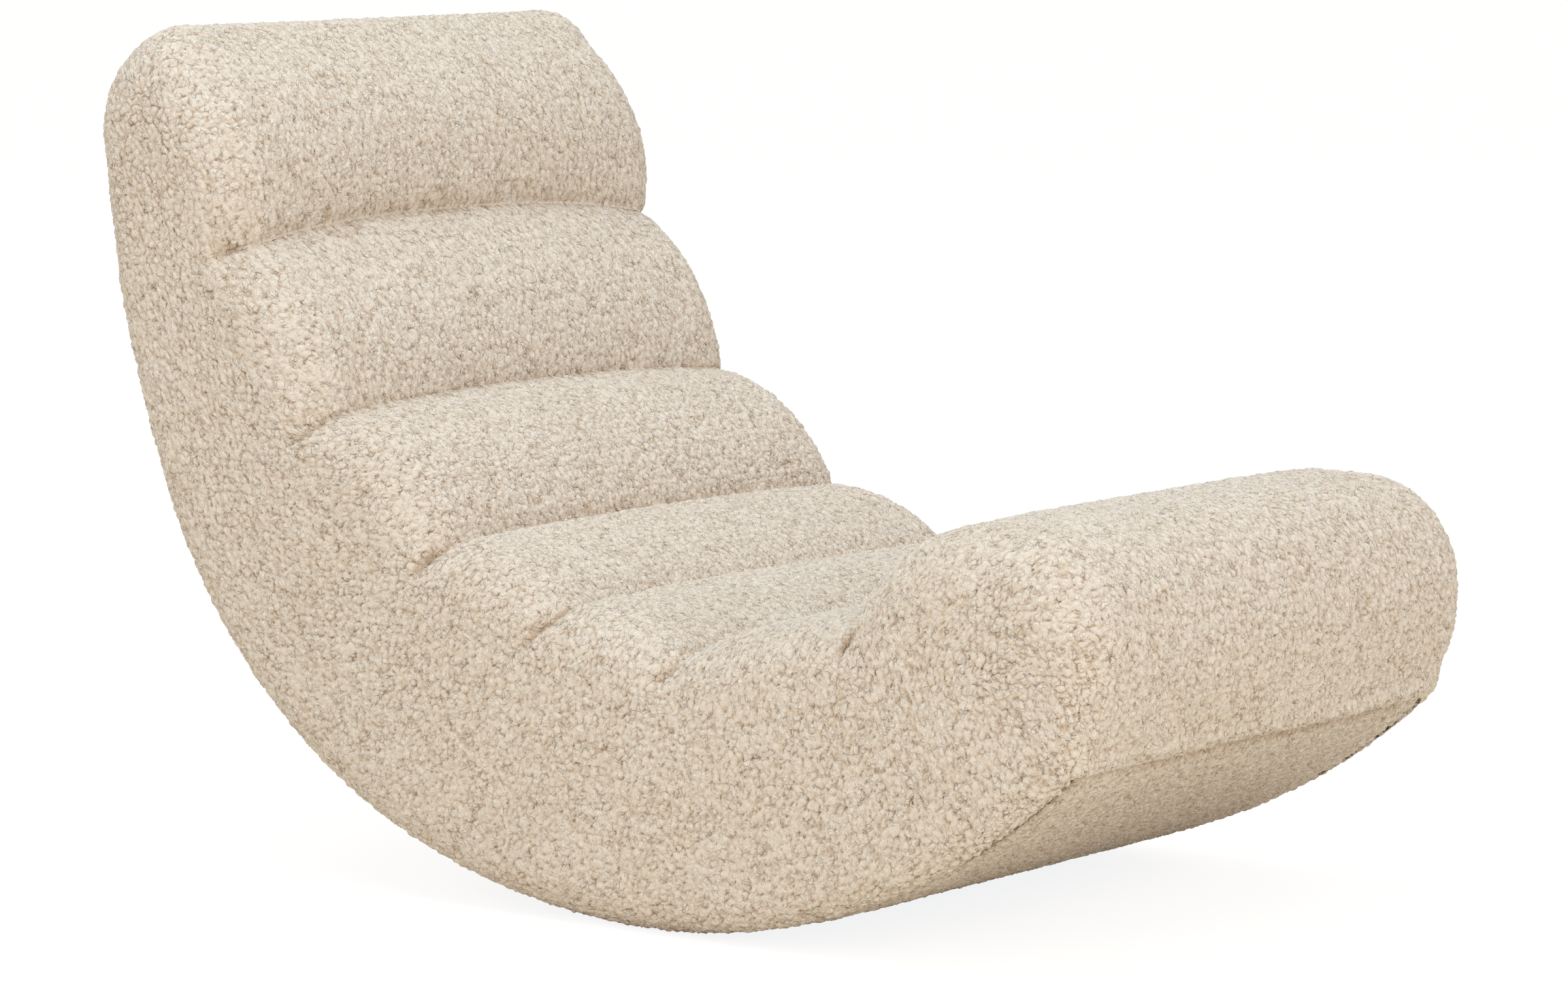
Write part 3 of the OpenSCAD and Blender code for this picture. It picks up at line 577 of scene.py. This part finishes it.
# Place and depth of the six grooves, the cushions' thickness there, and the channels' crowns between
GROOVE_AT = np.array([neck_at, -0.754, -0.426, -0.154, 0.070, seam_at - NOSE])
GROOVE_T = np.array([0.184, 0.240, 0.289, 0.298, 0.270, 0.254])
PAD_DEPTH = np.array([0.056, 0.056, 0.056, 0.063, 0.070, 0.070])
CROWNS = np.array([0.025, 0.027, 0.016, 0.015, 0.008])
# Lean, length and pull of each groove's crease on the side, and its pull on top
CREASE_LEAN = np.array([0.0, 0.022, -0.010, -0.045, -0.024, -0.030])
CREASE_END = np.array([0.045, 0.060, 0.064, 0.072, 0.045, 0.044])
CREASE_DEPTH = np.array([0.006, 0.0065, 0.007, 0.0072, 0.006, 0.011])
TOP_PULL, GROOVE_WIDTH, OVER_EDGE, FADES_FROM = 0.003, 0.0055, 0.02, 0.4
# Radius of the outer curve, blended where its arcs meet
BLEND = 0.01
BEND_AT = np.array([waist_end - BLEND, waist_end + BLEND, -ROCKER_REAR - BLEND, -ROCKER_REAR + BLEND])
BEND_R = np.array([UPPER_BACK_R, LOWER_BACK_R, LOWER_BACK_R, ROCKER_R])


def fullness(share):
    """Swell of the side's face: nothing at its edges, all of it half way, share (2 - share) between."""
    share = np.clip(share, 0, 1)
    return SIDE_FULLNESS * share * (2 - share)


def groove_pull(s, t):
    """How far the grooves pull the cloth in at place s and depth t. Each groove is a crease that runs
    round the edge and down the side, where it leans and fades out."""
    pull = 0
    for groove, thick, lean, end, side_pull in zip(GROOVE_AT, GROOVE_T, CREASE_LEAN, CREASE_END,
                                                   CREASE_DEPTH):
        below = thick - t
        line = groove + lean * smooth(below / end)
        depth = TOP_PULL + (side_pull - TOP_PULL) * smooth(below / OVER_EDGE)
        faded = smooth((below / end - FADES_FROM) / (1 - FADES_FROM))
        away = (s - line) * (1 - t / np.interp(s, BEND_AT, BEND_R))
        pull = pull + crease(away, depth * (1 - faded), GROOVE_WIDTH)
    return pull


def crown_radius(chord, high):
    """Radius of an arc over a chord whose middle stands high above it."""
    return (chord ** 2 / 4 + high ** 2) / (2 * high)


def crown_depth(s, a, b, high):
    """Depth at place s of an arc from a to b whose middle stands high above their chord: where the line
    square to the outer curve at s meets the circle."""
    chord = np.linalg.norm(b - a, axis=-1)
    radius = crown_radius(chord, high)
    along = (b - a) / chord[..., None]
    left = np.stack([-along[..., 1], along[..., 0]], -1)
    centre = (a + b) / 2 + left * (high - radius)[..., None]
    reach = at(s, 0) - centre
    half = (reach * inward(s)).sum(-1)
    return -half + np.sqrt(np.maximum(half ** 2 - (reach ** 2).sum(-1) + radius ** 2, 0))


def crest_t(s):
    """Depth of the channels' crowned tops at place s, in the middle of the chair's width."""
    k = np.clip(np.searchsorted(GROOVE_AT, s, "right") - 1, 0, len(CROWNS) - 1)
    return crown_depth(s, at(GROOVE_AT[k], GROOVE_T[k]), at(GROOVE_AT[k + 1], GROOVE_T[k + 1]), CROWNS[k])


def deck_t(s):
    """Depth of the deck under the cushions at place s."""
    return np.interp(s, GROOVE_AT, GROOVE_T - PAD_DEPTH)


knee_at = GROOVE_AT[-1]
channel_rows = [even(a, b, ROW_STEP) for a, b in zip(GROOVE_AT[:-1], GROOVE_AT[1:])]
s_pad = np.unique(np.concatenate(channel_rows))[:, None]
face = even(0, 1, STEP / FACE_HEIGHT)
round_turn = even(np.pi / 2, 0, STEP / SIDE_PAD)[1:]
thick = crest_t(s_pad)
inner_x = np.array([FRAME_X + INNER_GAP, FRAME_X, FRAME_X, 0.5 * (FRAME_X + EDGE_X)])
inner_point = at(s_pad, deck_t(s_pad) * [0, 0.5, 1, 1] + [INNER_LOW, 0, 0, 0])
for side, name in ((-1, "left_side"), (1, "right_side")):
    edge_r = edge_radius(s_pad, side)
    t_face = deck_t(s_pad) * (1 - face) + edge_r * face
    t_pad = np.concatenate([t_face, edge_r * (1 - np.cos(round_turn))], 1)
    x_pad = np.concatenate([np.full(t_face.shape, EDGE_X), EDGE_X - edge_r * (1 - np.sin(round_turn))], 1)
    x_pad = x_pad + fullness(np.minimum(t_pad, thick - t_pad) / (thick / 2))
    seam_pull = BACK_SEAM_PULL * smooth(1 - (t_pad - SEAM_END) / SEAM_END)
    pad_sunk = (crease(s_pad - BACK_SEAM_AT, seam_pull)
                + edge_pull(s_pad, side, x_pad - EDGE_X + edge_r + t_pad) + groove_pull(s_pad, t_pad))
    shown, height = curled(placed(side * x_pad, at(s_pad, t_pad)), pad_sunk, [(0, neck_at), (-1, knee_at)])
    upholster(name + "_cloth", tube(shown, placed(side * inner_x, inner_point)), height,
              name + "_pad")


# ---------------- channels
# Five rolls of foam and fibre in curly pile cloth, sewn down to the deck along the grooves between
# them. Each is crowned along the chair and rounded over at both ends, where it runs into the side.

# Radius, droop and share of the crown at the rounded ends, and the grooves' bow
END_R, END_DROOP, END_CROWN = 0.050, 0.003, 0.35
FLAT_X = EDGE_X - END_R
GROOVE_ARCH = np.array([0.026, 0.019, 0.014, 0.005, 0.0, 0.0])
ARCH_POWER = 2.5
SIDE_STEPS, CHANNEL_FILL = 8, 0.85
# Columns of the hidden under side, and how far their ends reach down into the side pads
UNDER_X = np.array([0.342, 0.338, 0.300, 0.150, 0, -0.150, -0.300, -0.338, -0.342])
TONGUE = np.array([0.004, 0.004, 0, 0, 0, 0, 0, 0.004, 0.004])
# The filling: pressure, how much smaller it starts, the most it moves a point, frames, and the freedom
# under which a point is held
PRESSURE, SHRUNK, MOST, FRAMES, HELD_UNDER = 12, 0.001, 0.003, 20, 0.02


def arch(s, x):
    """How far the grooves' bow carries the cloth up the back at place s: that of the middle, times
    1 - |x / half the width| ^ ARCH_POWER."""
    return np.interp(s, GROOVE_AT, GROOVE_ARCH) * (1 - np.minimum(np.abs(x) / EDGE_X, 1) ** ARCH_POWER)


def stations(side_steps):
    """Columns from the left side over the top to the right: -1 or 1 for the side, the share of the
    flat, the turn of the rounded end and the share of the side below it."""
    flat = even(-1, 1, STEP / FLAT_X)
    turn = even(0, np.pi / 2, STEP / END_R)[1:]
    low = np.linspace(0, 1, side_steps + 1)[1:]
    ones = np.ones(len(turn) + side_steps)
    right = np.stack([ones, ones, np.concatenate([turn, np.full(side_steps, np.pi / 2)]),
                      np.concatenate([0 * turn, low])])
    middle = np.stack([np.sign(flat), np.abs(flat), 0 * flat, 0 * flat])
    return np.concatenate([right[:, ::-1] * [[-1], [1], [1], [1]], middle, right], 1)


def rows_loose(count, over, held=0):
    """Freedom of each of count rows: none at the last and up to row held, all of it over rows further."""
    return smooth(np.minimum(np.arange(count) - held, np.arange(count)[::-1]) / over)[:, None]


def top_loose(turn, low_share):
    """Freedom of each column: all of it on the flat, less round the edge from half way, none below."""
    return smooth((1 - turn / (np.pi / 2)) / 0.5) * (low_share == 0)


def mirrored(count):
    """About every fourth of count row numbers, the same counted from either end."""
    half = np.linspace(0, (count - 1) / 2, count // 8).round().astype(int)
    return np.unique(np.concatenate([half, count - 1 - half]))


def resized(values, index, count):
    """Values that are known at some of count rows, spread evenly between them over all the rows."""
    where = np.interp(np.arange(count), index, np.arange(len(index)))
    low = np.minimum(where.astype(int), len(index) - 2)
    share = (where - low).reshape(-1, *[1] * (values.ndim - 1))
    return values[low] * (1 - share) + values[low + 1] * share


def fill_out(grid, close, free):
    """Swells a cover with its filling: Blender's cloth under pressure, without gravity, on about every
    fourth point of the grid, from a start SHRUNK smaller. It is held where free is 0, and no point
    moves more than MOST."""
    rows, columns = (mirrored(n) for n in grid.shape[:2])
    drawn, loose = grid[np.ix_(rows, columns)], free[np.ix_(rows, columns)]
    points, quads, hidden, places, number = close(drawn - outward(drawn) * SHRUNK * loose[..., None], rows)
    bag = make_mesh("filling", points, quads, hidden, places, np.ones(len(points)))
    used = np.unique(quads)
    held = on_points(points, number, loose, 0.0)[used] < HELD_UNDER
    bag.vertex_groups.new(name="held").add(np.flatnonzero(held).tolist(), 1.0, "REPLACE")
    cloth = bag.modifiers.new("cover", "CLOTH")
    cloth.settings.vertex_group_mass = "held"
    cloth.settings.use_pressure = True
    cloth.settings.uniform_pressure_force = PRESSURE
    cloth.settings.effector_weights.gravity = 0
    cloth.point_cache.frame_start, cloth.point_cache.frame_end = 1, FRAMES
    for moment in range(1, FRAMES + 1):
        scene.frame_set(moment)
    swollen = np.empty(3 * len(used), np.float32)
    bag.evaluated_get(bpy.context.evaluated_depsgraph_get()).data.vertices.foreach_get("co", swollen)
    points[used] = swollen.reshape(-1, 3)
    mesh = bag.data
    bpy.data.objects.remove(bag)
    bpy.data.meshes.remove(mesh)
    scene.frame_set(1)
    shift = (points[number] - drawn) * loose[..., None]
    shift = shift * (MOST / np.maximum(MOST, np.linalg.norm(shift, axis=-1, keepdims=True)))
    shift = resized(shift, rows, len(grid))
    return grid + resized(shift.swapaxes(0, 1), columns, grid.shape[1]).swapaxes(0, 1)


side, flat_share, turn, low_share = stations(SIDE_STEPS)
sink = END_R * (1 - np.cos(turn)) + END_DROOP * flat_share ** 2
for k, name in enumerate(("upper_back", "middle_back", "lower_back", "rear_seat", "front_seat")):
    s = channel_rows[k][:, None]
    a, b = (at(GROOVE_AT[end], GROOVE_T[end] - sink) for end in (k, k + 1))
    high = CROWNS[k] * (1 + (END_CROWN - 1) * (1 - np.cos(turn)))
    t = crown_depth(s, a, b, high) * (1 - low_share) + deck_t(s) * low_share
    crest = crest_t(s)
    x = side * (FLAT_X * flat_share + END_R * np.sin(turn)
                + fullness(np.minimum(crest - t, t) / (crest / 2)) * (turn > 0))
    under = placed(UNDER_X, at(s - arch(s, UNDER_X), deck_t(s) - TONGUE))
    cover = fill_out(placed(x, at(s - arch(s, x), t)), lambda grid, rows: tube(grid, under[rows]),
                     rows_loose(len(s), 3) * top_loose(turn, low_share))
    shown, height = curled(cover, groove_pull(s, t), [(0, GROOVE_AT[k]), (-1, GROOVE_AT[k + 1])])
    upholster(name + "_cloth", tube(shown, under), height, name + "_channel")


# ---------------- head cushion
# The thickest roll, over the top of the frame: curly pile cloth over foam that wraps from the neck
# groove over the top and down the back to the neck, in one piece with its rounded sides.

HEAD_BACK_R, HEAD_BACK_TURN = 0.104, np.radians(75)
HEAD_TOP_R, HEAD_TOP_TURN = 0.042, np.radians(88)
HEAD_CROWN, HEAD_CORNER, HEAD_SEAM_PULL = 0.030, 0.060, 0.0038
# Rows of each arm, steps of a side, points of a crown, and how corners are eased
HEAD_ARM, BELT_SIDE_STEPS, CROWN_POINTS = 70, 40, 80
EASE_REACH, EASE_TIMES = 4, 3


def crown_arc(a, b, high):
    """Arc from a to b whose middle stands high to the left of the chord."""
    chord = np.linalg.norm(b - a)
    radius = crown_radius(chord, high)
    half = np.arcsin(chord / 2 / radius)
    along = (b - a) / chord
    left = np.array([-along[1], along[0]])
    q = half * np.linspace(-1, 1, CROWN_POINTS)[:, None]
    return (a + b) / 2 + along * radius * np.sin(q) + left * (radius * np.cos(q) - radius + high)


def respaced(line, count=None):
    """The points of a line, spread evenly along it: count of them, or one every STEP."""
    run = np.concatenate([[0], np.cumsum(np.linalg.norm(np.diff(line, axis=0), axis=1))])
    wanted = np.linspace(0, run[-1], count or int(np.ceil(run[-1] / STEP)) + 1)
    return np.stack([np.interp(wanted, run, line[:, k]) for k in (0, 1)], -1)


def eased(line):
    """A line of points with its corners eased: each point becomes the mean of those within EASE_REACH
    of it, EASE_TIMES over. The ends stay."""
    window = 2 * EASE_REACH + 1
    for _ in range(EASE_TIMES):
        total = np.cumsum(np.concatenate([np.repeat(line[:1], EASE_REACH + 1, 0), line,
                                          np.repeat(line[-1:], EASE_REACH, 0)]), axis=0)
        line = np.concatenate([line[:1], ((total[window:] - total[:-window]) / window)[1:-1], line[-1:]])
    return line


def eased_outline(wrap, front, arm_rows):
    """A wrap and the front that follows it, eased as one line and spaced evenly again: the wrap without
    its two ends, and the front in arm_rows points."""
    line = eased(respaced(np.concatenate([wrap, front[1:]])))
    at_joint = len(respaced(wrap)) - 1
    return respaced(line[:at_joint + 1])[1:-1], respaced(line[at_joint:], arm_rows)


def over_spine(profile, spine, radii, recess):
    """Rows that go from the left end of a spine outwards to the profile's point, round the left edge,
    across, round the right edge and back in to the spine. radii are those of the left edge and the right
    one, and recess sinks the flat between them. Returns each point's x, its side view point and the
    columns' freedom."""
    side, flat_share, turn, low_share = stations(BELT_SIDE_STEPS)
    profile, spine = profile[:, None], spine[:, None]
    r = np.where(side < 0, radii[0][:, None], radii[1][:, None])
    reach = np.linalg.norm(spine - profile, axis=-1)
    drawn = r * (1 - np.cos(turn)) + recess[:, None] * (flat_share < 1)
    drawn = np.minimum(drawn + (reach - drawn) * low_share, reach)
    point = profile + unit(spine - profile) * drawn[..., None]
    x = side * ((EDGE_X - r) * flat_share + r * np.sin(turn) + fullness(drawn / reach) * (turn > 0))
    return x, point, top_loose(turn, low_share)


def belt(shown, arm_rows, place):
    """Closes a grid from over_spine. The first and last arm_rows rows share their spine points in
    pairs, and the rows between meet in one. Both ends run on past the plane at place, drawn in, and
    meet there. Returns the same as tube."""
    count, columns = shown.shape[:2]
    along = placed(0, onward(place))
    beyond = along * -np.sign((shown.mean((0, 1)) - shown[0].mean(0)) @ along) * RUN_ON
    middle = (shown[0, 0] + shown[0, -1]) / 2
    inner = [(row + unit(middle - row) * DRAWN_IN + beyond)[None] for row in (shown[-1], shown[0])]
    ring = np.concatenate([shown, *inner])
    number = np.arange((count + 2) * columns).reshape(count + 2, columns)
    for end in (0, -1):
        number[arm_rows:count - arm_rows, end] = number[arm_rows - 1, end]
        number[count - arm_rows:count, end] = number[:arm_rows, end][::-1]
        number[count + 1, end] = number[count, end]
    quads = cells(np.concatenate([number, number[:1]]))
    hidden = np.repeat(np.arange(count + 2) >= count - 1, columns - 1)
    return ring.reshape(-1, 3), quads, hidden, map_of(ring, count + 2, columns - 1), number[:count]


def local_st(point, place):
    """Place and depth of side view points near a place, measured along its heading and square to it."""
    offset = point - at(place, 0)
    return place + offset @ onward(place), offset @ inward(place)


head_turn = heading(back_end) + np.pi
back_corner = at(back_end, 0)
head_back = arc_end(back_corner, head_turn, head_turn - np.linspace(0, HEAD_BACK_TURN, 60), -HEAD_BACK_R)
head_top = arc_end(head_back[-1], head_turn - HEAD_BACK_TURN,
                   head_turn - HEAD_BACK_TURN - np.linspace(0, HEAD_TOP_TURN, 40), -HEAD_TOP_R)
head_front = crown_arc(head_top[-1], at(neck_at, GROOVE_T[0]), HEAD_CROWN)
head_core = back_corner + HEAD_BACK_R * np.array([np.sin(head_turn), -np.cos(head_turn)])
head_base = at(neck_at, GROOVE_T[0] / 2)
wrap, front = eased_outline(np.concatenate([head_back, head_top[1:]]), head_front, HEAD_ARM)
profile = np.concatenate([respaced(at(np.linspace(neck_at, back_end, 90), 0), HEAD_ARM), wrap, front])
climb = head_base + (head_core - head_base) * np.linspace(0, 1, HEAD_ARM)[:, None]
spine = np.concatenate([climb, np.repeat(head_core[None], len(wrap), 0), climb[::-1]])
corner = np.interp(np.arange(len(profile)), HEAD_ARM + np.array([0, 0.6, 1, 1.5]) * len(wrap),
                   [SIDE_PAD, HEAD_CORNER, HEAD_CORNER, END_R])
x_head, head_point, columns_loose = over_spine(profile, spine, (corner, corner), 0 * corner)
s_head, t_head = local_st(head_point, neck_at)
down_front = smooth((np.arange(len(profile)) - len(profile) + HEAD_ARM) / (HEAD_ARM - 1))[:, None]
lifted = (down_front * arch(neck_at, x_head))[..., None] * -onward(neck_at)
cover = fill_out(placed(x_head, head_point + lifted),
                 lambda grid, rows: belt(grid, (rows < HEAD_ARM).sum(), neck_at),
                 rows_loose(len(profile), 4) * columns_loose)
on_back = smooth((2 * SEAM_END - t_head) / SEAM_END)
head_sunk = groove_pull(s_head, t_head) + crease(np.abs(x_head) - FRAME_X, HEAD_SEAM_PULL * on_back)
shown, height = curled(cover, head_sunk, [(0, neck_at), (-1, neck_at)])
upholster("head_cloth", belt(shown, HEAD_ARM, neck_at), height, "head_cushion")


# ---------------- front roll
# The deep roll at the front of the seat: the same cloth and foam from the knee groove over the nose to
# the seam under it, where it meets the underside cover in a fold.

ROLL_RISE = np.radians(62)
ROLL_FRONT_R, ROLL_FRONT_TURN = 0.253, np.radians(30)
ROLL_TOP_R, ROLL_TOP_TURN = 0.095, np.radians(102)
ROLL_CROWN, ROLL_MID, ROLL_END_R, ROLL_ARM = 0.034, GROOVE_T[-1] / 2, 0.062, 66
# Radii of the left and the right end at the seam, a tenth and a quarter of the way to the top
END_RADII = (LEFT_CORNER, 0.030, 0.034), (RIGHT_CORNER, 0.058, 0.051)
# Height of the under side over the outer curve, and the share of it that comes down to the seam
TUCK, TUCK_RISE = COVER_T + 0.002, 0.08
# The lip over the seam: least bulge, what gathers add, height, width, and how far it fades at each end
LIP, LIP_GATHER, LIP_AT, LIP_WIDTH, LIP_FADES = 0.001, 0.009, 0.013, 0.011, (0.05, 0.10)
SEAM_PULL, SEAM_WIDTH, UNDER_END = 0.003, 0.004, 0.04

seam_point = at(seam_at, 0)
roll_front = arc_end(seam_point, ROLL_RISE, ROLL_RISE + np.linspace(0, ROLL_FRONT_TURN, 80), ROLL_FRONT_R)
front_end = ROLL_RISE + ROLL_FRONT_TURN
roll_top = arc_end(roll_front[-1], front_end, front_end + np.linspace(0, ROLL_TOP_TURN, 80), ROLL_TOP_R)
roll_rear = crown_arc(roll_top[-1], at(knee_at, GROOVE_T[-1]), -ROLL_CROWN)
wrap, front = eased_outline(np.concatenate([roll_front, roll_top[1:]]), roll_rear, ROLL_ARM)
profile = np.concatenate([respaced(at(np.linspace(knee_at, seam_at, 60), 0), ROLL_ARM), wrap, front])
roll_base = at(knee_at, ROLL_MID)
roll_core = at(seam_at - SIDE_PAD / 2, ROLL_MID)
arm_share = np.linspace(0, 1, ROLL_ARM)
reach_out = roll_base + (roll_core - roll_base) * arm_share[:, None]
spine = np.concatenate([reach_out, np.repeat(roll_core[None], len(wrap), 0), reach_out[::-1]])
corners = [np.concatenate([np.full(ROLL_ARM, low),
                           np.interp(np.linspace(0, 1, len(wrap)), [0, 0.10, 0.25, 0.6],
                                     [low, *above, ROLL_END_R]),
                           ROLL_END_R + (END_R - ROLL_END_R) * arm_share])
           for low, *above in END_RADII]
tucked = np.concatenate([TUCK * smooth((1 - arm_share) / TUCK_RISE), np.zeros(len(profile) - ROLL_ARM)])
x_roll, roll_point, columns_loose = over_spine(profile, spine, corners, tucked)
cover = fill_out(placed(x_roll, roll_point),
                 lambda grid, rows: belt(grid, (rows < ROLL_ARM).sum(), knee_at),
                 rows_loose(len(profile), 4, ROLL_ARM + 3) * columns_loose)
s_roll, t_roll = local_st(roll_point, knee_at)
from_seam = np.linalg.norm(roll_point - seam_point, axis=-1)
on_face = np.arange(len(profile))[:, None] >= ROLL_ARM
at_edge = np.abs(x_roll) - EDGE_X + np.where(x_roll < 0, corners[0][:, None], corners[1][:, None])
under_edge = edge_pull(s_roll, x_roll, at_edge) * smooth((UNDER_END - t_roll) / SEAM_END) * ~on_face
lip = (LIP + LIP_GATHER * gathers(x_roll)) * np.exp(-((from_seam - LIP_AT) / LIP_WIDTH) ** 2)
lip = lip * smooth((EDGE_X - np.abs(x_roll)) / np.where(x_roll < 0, *LIP_FADES))
roll_sunk = (groove_pull(s_roll, t_roll) + under_edge
             + crease(from_seam, SEAM_PULL, SEAM_WIDTH) - lip * on_face)
shown, height = curled(cover, roll_sunk, [(0, knee_at), (-1, knee_at)])
upholster("front_roll_cloth", belt(shown, ROLL_ARM, knee_at), height, "front_roll")


# ---------------- floor, lamps and camera
# A pale studio floor that keeps a soft shadow, three wide lamps (overhead, at the camera's side and in
# front) and even light from all round. Straight from the camera the floor glows and the sky is white.

FLOOR_CORNERS = [(-30, -30, 0), (30, -30, 0), (30, 30, 0), (-30, 30, 0)]
FLOOR_GLOW, GLOW_SHARE, SKY = 1.22, 0.72, 0.64
TARGET, DISTANCE = Vector((0, 0.06864, 0.38191)), 5.8190
AZIMUTH, ELEVATION = np.radians(-53.665), np.radians(6.588)
FOCAL_LENGTH, SENSOR_WIDTH, CLIP_END = 134.85, 36, 100


def shine(tree, usual, direct, share, surface):
    """Joins a shader to a surface, and mixes in share of a direct one for rays from the camera and rays
    that glossy or clear surfaces pass on."""
    rays = tree.nodes.new("ShaderNodeLightPath")
    total = rays.outputs["Is Camera Ray"]
    for kind in ("Is Glossy Ray", "Is Transmission Ray"):
        either = tree.nodes.new("ShaderNodeMath")
        either.operation, either.use_clamp = "ADD", True
        tree.links.new(total, either.inputs[0])
        tree.links.new(rays.outputs[kind], either.inputs[1])
        total = either.outputs[0]
    portion = tree.nodes.new("ShaderNodeMath")
    portion.operation = "MULTIPLY"
    portion.inputs[1].default_value = share
    blend = tree.nodes.new("ShaderNodeMixShader")
    for start, end in ((total, portion.inputs[0]), (portion.outputs[0], blend.inputs[0]),
                       (usual.outputs[0], blend.inputs[1]), (direct.outputs[0], blend.inputs[2]),
                       (blend.outputs[0], surface)):
        tree.links.new(start, end)


floor_mesh = bpy.data.meshes.new("floor")
floor_mesh.from_pydata(FLOOR_CORNERS, [], [(0, 1, 2, 3)])
floor = add("floor", floor_mesh)
floor_paint = bpy.data.materials.new("floor_paint")
floor_paint.use_nodes = True
tree = floor_paint.node_tree
tree.nodes.clear()
lit = tree.nodes.new("ShaderNodeBsdfDiffuse")
lit.inputs["Color"].default_value = (0.86, 0.78, 0.66, 1)
glow = tree.nodes.new("ShaderNodeEmission")
glow.inputs["Color"].default_value = (0.98, 0.99, 1.0, 1)
glow.inputs["Strength"].default_value = FLOOR_GLOW
shine(tree, lit, glow, GLOW_SHARE, tree.nodes.new("ShaderNodeOutputMaterial").inputs["Surface"])
floor_mesh.materials.append(floor_paint)
floor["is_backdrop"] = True

world = bpy.data.worlds.new("studio")
scene.world = world
world.use_nodes = True
tree = world.node_tree
sky = tree.nodes["Background"]
sky.inputs["Color"].default_value = (0.96, 0.98, 1.0, 1)
sky.inputs["Strength"].default_value = SKY
backdrop = tree.nodes.new("ShaderNodeBackground")
backdrop.inputs["Color"].default_value = (1, 1, 1, 1)
shine(tree, sky, backdrop, 1, tree.nodes["World Output"].inputs["Surface"])


def lamp(name, place, target, size, watts, colour):
    """Adds a square area lamp of that size, turned to its target."""
    light = bpy.data.lights.new(name, "AREA")
    light.shape, light.size, light.energy, light.color = "SQUARE", size, watts, colour
    made = add(name, light)
    made.location = place
    made.rotation_euler = (Vector(target) - Vector(place)).to_track_quat("-Z", "Y").to_euler()


lamp("overhead", (-0.6, 0.3, 3.6), (0, 0.1, 0.4), 3.2, 60, (0.80, 0.95, 1.0))
lamp("camera_side", (-4.2, -1.0, 1.6), (0, 0, 0.4), 2.6, 43, (1.0, 1.0, 1.0))
lamp("front", (-0.3, -3.2, 1.3), (0, -0.5, 0.2), 2.0, 25, (0.97, 0.99, 1.0))

lens = bpy.data.cameras.new("camera")
lens.lens, lens.sensor_width, lens.clip_end = FOCAL_LENGTH, SENSOR_WIDTH, CLIP_END
camera = add("camera", lens)
back = Vector((np.sin(AZIMUTH) * np.cos(ELEVATION), -np.cos(AZIMUTH) * np.cos(ELEVATION), np.sin(ELEVATION)))
camera.location = TARGET + back * DISTANCE
camera.rotation_euler = back.to_track_quat("Z", "Y").to_euler()
scene.camera = camera
scene.view_settings.view_transform = "Standard"

low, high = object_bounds()
